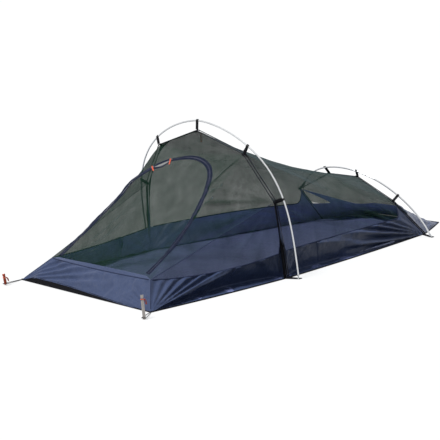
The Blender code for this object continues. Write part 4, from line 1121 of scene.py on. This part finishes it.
def bind(name, values, half, thick, look, node=None, rise=0.0, way=radial, stitches=True):
    """A tape over a seam, and the two rows of stitches that hold it."""
    path = [p + way(p) * rise for p in values]
    for p in path:
        p.z = max(p.z, 0.0030)
    normals = [way(p) for p in values]
    panel(name, ribbon(path, normals, half, thick), look, node, around=True)
    if not stitches:
        return
    lines = []
    for edge in (-1, 1):
        line = []
        for i, p in enumerate(path):
            ahead_point = path[min(i + 1, len(path) - 1)] - path[max(i - 1, 0)]
            tangent = ahead_point.normalized()
            across = tangent.cross(normals[i]).normalized()
            line.append((p + across * edge * half * 0.62 + normals[i] * thick * 0.95, tangent))
        lines.append(line)
    row_of(name + "_stitches", lines, 0.0042, 0.0004, 0.0028, seam_thread, "tent_body")


front_seam = [on_side(FRONT, -1), on_side(CLIP_SIDE, -1), on_side(CLIP_SHOULDER, -1), CLIP_TOP,
              CLIP_SHOULDER, CLIP_SIDE, FRONT]


def beside(values, offset):
    """A line at a distance to one side of a seam, in its surface."""
    moved = []
    for i, p in enumerate(values):
        tangent = (values[min(i + 1, len(values) - 1)] - values[max(i - 1, 0)]).normalized()
        moved.append(p + tangent.cross(radial(p)).normalized() * offset)
    return moved


for word, seam, pipings in (("front", front_seam, ((-0.0085, 0.0019), (0.0085, 0.0019))),
                            ("rear", rear_seam, ((-0.0060, 0.0019), (0.0030, 0.0027)))):
    seam = dense(seam, 0.02)
    for (offset, half), edge_word in zip(pipings, ("head", "foot")):
        bind(f"{word}_seam_piping_{edge_word}", beside(seam, offset), half, 0.0015, black_tape,
             f"{word}_seam_binding" if offset < 0.0 else None, 0.0015)
for side, word in SIDES:
    # The net is bunched into the seam below the side clip, most of all at the ground.
    start, end = on_side(CLIP_SIDE, side), on_side(FRONT, side)
    bunch = []
    for i in range(41):
        t = i / 40
        spread = 0.004 + (0.024 if side == NEAR else 0.006) * t
        centre = lerp(start, end, t) + Vector((-spread * 0.5, side * 0.004 * math.sin(math.pi * t), 0.0))
        bunch.append([centre + Vector((spread * (w - 0.5), side * 0.002 * math.cos(w * 19.0), 0.0))
                      for w in (k / 24 for k in range(25))])
    panel(f"front_seam_gather_{word}", grid_of(bunch), black_tape, None)

    def corner_way(p, side=side):
        return Vector((-0.55, side * 0.75, 0.35)).normalized()

    corner = dense([on_side(p, side) for p in (HEAD, RIM_CORNER[side], CLIP_SIDE)], 0.02)[1:-1]
    bind(f"corner_tape_{word}", corner, 0.0012, 0.0007, navy_tape, f"corner_binding_{word}", 0.0002,
         corner_way, False)

    def wall_way(p, side=side):
        return Vector((0.0, side, 0.3)).normalized()

    rim = [on_side(front_rim(i / 80, side), side) for i in range(1, 79)]
    bind(f"front_rim_tape_{word}", rim, 0.0032, 0.0009, navy_tape, None, 0.0006, wall_way, False)
    rim = [on_side(rear_rim(i / 120, side), side) for i in range(3, 118)]
    bind(f"rear_rim_tape_{word}", rim, 0.0032, 0.0009, navy_tape, None, 0.0006, wall_way, False)


bind("head_rim_tape", [head_rim(i / 60) for i in range(1, 60)], 0.0022, 0.0009, navy_tape,
     None, 0.0008, lambda p: door_out, False)

# Clips.
# Nine moulded black hooks snap over the poles. Each has a short strap that ends in a folded webbing anchor, sewn
# over the seam below it.

clip_plastic = scuffed("clip_plastic", (0.010, 0.010, 0.011), (0.022, 0.022, 0.024), 0.45, 0.0, 0.25, 80.0, 900.0,
                       Specular_IOR_Level=0.20)
CLIP_ORDER = ["front_clip_top"]
ANCHORS = [("anchor_front_top", CLIP_TOP, (0.82, 0.0, -0.30), (-0.80, 0.0, -0.60))]
for side, word in SIDES:
    for label, spot, one, other in (
        ("front_shoulder", CLIP_SHOULDER, (0.85, 0.10, -0.45), (-0.80, -0.05, -0.58)),
        ("front_side", CLIP_SIDE, (0.90, 0.05, -0.40), (-0.90, 0.05, -0.42)),
        ("rear_top", REAR_CLIP_TOP, (0.85, 0.05, -0.45), (-0.95, 0.02, 0.25)),
        ("rear_side", REAR_CLIP_SIDE, (0.75, 0.10, -0.60), (-0.93, 0.10, 0.05)),
    ):
        hoop, place = label.split("_")
        CLIP_ORDER.append(f"{hoop}_clip_{place}_{word}")
        ANCHORS.append((
            f"anchor_{label}_{word}", on_side(spot, side), (one[0], side * one[1], one[2]),
            (other[0], side * other[1], other[2]),
        ))
finish_nodes(clip_plastic, *CLIP_ORDER)
for name, spot, one, other in ANCHORS:
    out = radial(spot)
    one, other = Vector(one).normalized(), Vector(other).normalized()
    path = [spot + one * 0.013 + out * 0.0020, spot + one * 0.007 + out * 0.0034, spot + out * 0.0048,
            spot + other * 0.007 + out * 0.0034, spot + other * 0.013 + out * 0.0020]
    fine = [by_knots(range(5), path, spot_on_path) for spot_on_path in np.linspace(0, 4, 25)]
    panel(name, ribbon(fine, [out] * len(fine), 0.0060, 0.0010), black_tape, None, around=True)

for name, (_, spot, _, _) in zip(CLIP_ORDER, ANCHORS):
    hook = np.zeros(len(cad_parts[name].data.vertices) * 3)
    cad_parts[name].data.vertices.foreach_get("co", hook)
    hook = hook.reshape(-1, 3)
    gaps = np.linalg.norm(hook - np.array(spot), axis=1)
    tip = Vector(hook[gaps > 0.85 * gaps.max()].mean(axis=0))
    foot = Vector(hook[gaps < gaps.min() + 0.002].mean(axis=0))
    way = (tip - foot).normalized()
    flat_way = way.cross(Vector((0.0, way.z, -way.y)).normalized()).normalized()
    span = (tip - foot).length - 0.008
    path = [foot + way * (span * i / 12 - 0.0045 * (1.0 - i / 12)) for i in range(13)]
    panel(f"{name}_webbing", ribbon(path, [flat_way] * 13, 0.0088, 0.0027), black_tape, None,
          body=name, around=True)

# Ground tabs.
# Black webbing is sewn to the floor beside each pole foot, with a pressed steel eyelet for the pole tip.

TAB_SPOTS = (("front", 0.0, 0.530, FRONT, -0.016, 0.024), ("rear", 1.116, 0.432, REAR, -0.026, -0.001))
TAB_NOSE = ((0.013, 0.009), (0.008, 0.014), (-0.008, 0.014), (-0.013, 0.009))
EYELET_HOLE = 0.0048
EYELET_RADIUS = 0.0066
EYELET_LEVEL = 0.0024
eyelet_steel = scuffed("eyelet_steel", (0.50, 0.51, 0.53), (0.36, 0.37, 0.39), 0.32, 1.0, 0.2, 200.0, 1500.0)


def ray_reach(centre, way, outline):
    """How far a ray from inside a flat outline runs before it leaves it."""
    reach = 1.0
    for a, b in zip(outline, outline[1:] + outline[:1]):
        span = b - a
        cross = way.x * span.y - way.y * span.x
        if abs(cross) < 1e-9:
            continue
        gap = a - centre
        distance = (gap.x * span.y - gap.y * span.x) / cross
        part = (gap.x * way.y - gap.y * way.x) / cross
        if distance > 0 and -1e-6 <= part <= 1 + 1e-6:
            reach = min(reach, distance)
    return reach


for word, x, y, corner, back, on in TAB_SPOTS:
    for side, side_word in SIDES:
        centre = Vector((x, side * y))
        sewn = [(corner.x + back, corner.y - 0.001), (corner.x + on, corner.y - 0.001)]
        nose = [(x + dx, y + dy) for dx, dy in TAB_NOSE]
        outline = [Vector((px, side * py)) for px, py in sewn + nose]
        rings = []
        for i in range(96):
            a = math.tau * i / 96
            way = Vector((math.cos(a), math.sin(a)))
            far = ray_reach(centre, way, outline)
            ring = []
            for share, level in ((0.0, 0.0004), (1.0, 0.0004), (1.0, 0.0020), (0.5, 0.0023), (0.0, 0.0020)):
                spot = centre + way * (EYELET_HOLE + (far - EYELET_HOLE) * share)
                ring.append(Vector((spot.x, spot.y, level)))
            rings.append(ring)
        rings.append(rings[0])
        panel(f"{word}_tab_{side_word}", grid_of(rings).transpose(1, 0, 2), black_tape,
              f"{word}_ground_tab_{side_word}", around=True)
        rings = []
        for i in range(49):
            a = math.tau * i / 48
            way = Vector((math.cos(a), math.sin(a), 0.0))
            ring = []
            for k in range(10):
                b = math.tau * k / 10
                ring.append(Vector((x, side * y, EYELET_LEVEL)) + way * (EYELET_RADIUS + 0.0016 * math.cos(b))
                            + Vector((0, 0, 0.0008 * math.sin(b))))
            rings.append(ring)
        points = grid_of(rings).transpose(1, 0, 2)
        eyelet, _, _ = sew_sheet(f"{word}_eyelet_{side_word}", points, eyelet_steel, INSIDE, True)
        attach(eyelet, "tent_body")

# Pegs and cords.
# Three-finned alloy stakes hold the head corners through black cord loops. The near one is bare metal and the
# far one orange, each with a short orange cord round its neck to pull it out. A lamp loop hangs at the top clip.

peg_orange = scuffed("peg_orange", (0.80, 0.13, 0.045), (0.62, 0.085, 0.030), 0.40, 0.0, 0.2, 120.0, 900.0)
peg_alloy = scuffed("peg_alloy", (0.40, 0.38, 0.36), (0.26, 0.24, 0.23), 0.42, 1.0, 0.2, 120.0, 900.0)
finish_nodes(peg_alloy, "peg_left")
finish_nodes(peg_orange, "peg_right")


def braided(name, colour, pale):
    """Thin braided cord: slanting strands on its own UV map."""
    made, tree, shader = principled(name, colour, 0.6, 0.0, Specular_IOR_Level=0.25)
    strands = metre_lines(tree, 0.0011, 0.5, ("X", "Y"))
    tree.links.new(mix_colours(tree, strands, colour, pale), shader.inputs["Base Color"])
    bump_into(tree, shader, strands, 0.6, 0.0003)
    return made


orange_cord = braided("orange_cord_braid", (0.72, 0.095, 0.035), (0.85, 0.17, 0.07))
black_cord = braided("black_cord_braid", (0.012, 0.012, 0.014), (0.045, 0.045, 0.050))


def loop_cord(name, values, radius, look, node, body):
    """A tied loop of cord swept round a closed path of points."""
    count = len(values)
    fine = []
    for i in range(count):
        a, b, c, d = (values[(i + k) % count] for k in (-1, 0, 1, 2))
        for j in range(4):
            s = j / 4
            fine.append(0.5 * ((2 * b) + (c - a) * s + (2 * a - 5 * b + 4 * c - d) * s ** 2
                               + (3 * b - a - 3 * c + d) * s ** 3))
    fine.append(fine[0])
    steps = int(sum((b - a).length for a, b in zip(fine, fine[1:])) / (1.5 * radius))
    fine = [along(fine, i / steps) for i in range(steps)]
    fine.append(fine[0])
    rings, across = [], None
    for i in range(len(fine) - 1):
        tangent = (fine[i + 1] - fine[i - 1 if i else -2]).normalized()
        across = tangent.orthogonal() if across is None else across
        across = (across - tangent * across.dot(tangent)).normalized()
        up = tangent.cross(across)
        rings.append([fine[i] + radius * (math.cos(a) * across + math.sin(a) * up)
                      for a in (math.tau * k / 12 for k in range(12))])
    first = np.array([tuple(p) for p in rings[0]])
    last = np.array([tuple(p) for p in rings[-1]])
    shift = min(range(12), key=lambda n: float(np.linalg.norm(np.roll(first, -n, axis=0) - last)))
    rings.append([Vector(p) for p in np.roll(first, -shift, axis=0)])
    made, _, _ = sew_sheet(name, np.array([[tuple(p) for p in ring] for ring in rings]), look, INSIDE, True)
    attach(made, body)
    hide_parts(node)


PEGS = (
    ("left", -1, (-0.928, -0.530), 0.104, (-2.0, -3.0)),
    ("right", 1, (-0.950, 0.440), 0.056, (8.0, -14.0)),
)
for word, side, foot, height, tilt in PEGS:
    turn = Matrix.Rotation(math.radians(tilt[0]), 3, "X") @ Matrix.Rotation(math.radians(tilt[1]), 3, "Y")
    base = Vector((*foot, 0.0003 + 0.0070 * abs(math.sin(math.radians(math.hypot(*tilt))))))
    neck = height - 0.0185
    back = [(0.0066 * math.cos(a), 0.0066 * math.sin(a), neck) for a in (1.9, 2.5, math.pi, -2.5, -1.9)]
    droop = [(0.0060, -0.0064, neck), (0.0120, -0.0056, neck - 0.004), (0.0165, -0.0048, neck - 0.014),
             (0.0180, -0.0026, neck - 0.024), (0.0180, 0.0026, neck - 0.024), (0.0165, 0.0048, neck - 0.014),
             (0.0120, 0.0056, neck - 0.004), (0.0060, 0.0064, neck)]
    loop_cord(f"peg_cord_braid_{word}", [base + turn @ Vector(p) for p in back + droop], 0.0016, orange_cord,
              f"peg_cord_{word}", f"peg_{word}")
    corner = Vector((HEAD.x, side * HEAD.y, 0.0))
    held = base + turn @ Vector((0.0, 0.0, 0.0080 - base.z))
    away = Vector((held.x - corner.x, held.y - corner.y, 0.0))
    length = away.length
    away.normalize()
    aside = Vector((-away.y, away.x, 0.0))
    path = []
    for i in range(7):
        a = -math.pi / 2 + math.pi * i / 6
        path.append(corner + away * (length + 0.0095 * math.cos(a)) + aside * 0.0095 * math.sin(a)
                    + Vector((0.0, 0.0, held.z)))
    for i in range(5):
        a = math.pi / 2 + math.pi * i / 4
        path.append(corner + away * (0.0048 + 0.0030 * math.cos(a)) + aside * 0.0030 * math.sin(a)
                    + Vector((0.0, 0.0, 0.0022)))
    loop_cord(f"corner_loop_braid_{word}", path, 0.0015, black_cord, f"corner_loop_{word}", "tent_body")

hang = CLIP_TOP + Vector((0.022, 0.0, -0.0107))
path = []
for i in range(12):
    a = math.tau * i / 12
    stretch = 0.034 if math.sin(a) < 0.0 else 0.0
    path.append(hang + Vector((0.0, 0.0045 * math.cos(a), 0.0045 * math.sin(a) - 0.006 - stretch)))
loop_cord("lamp_loop_braid", path, 0.0012, orange_cord, "hanging_loop", "tent_body")
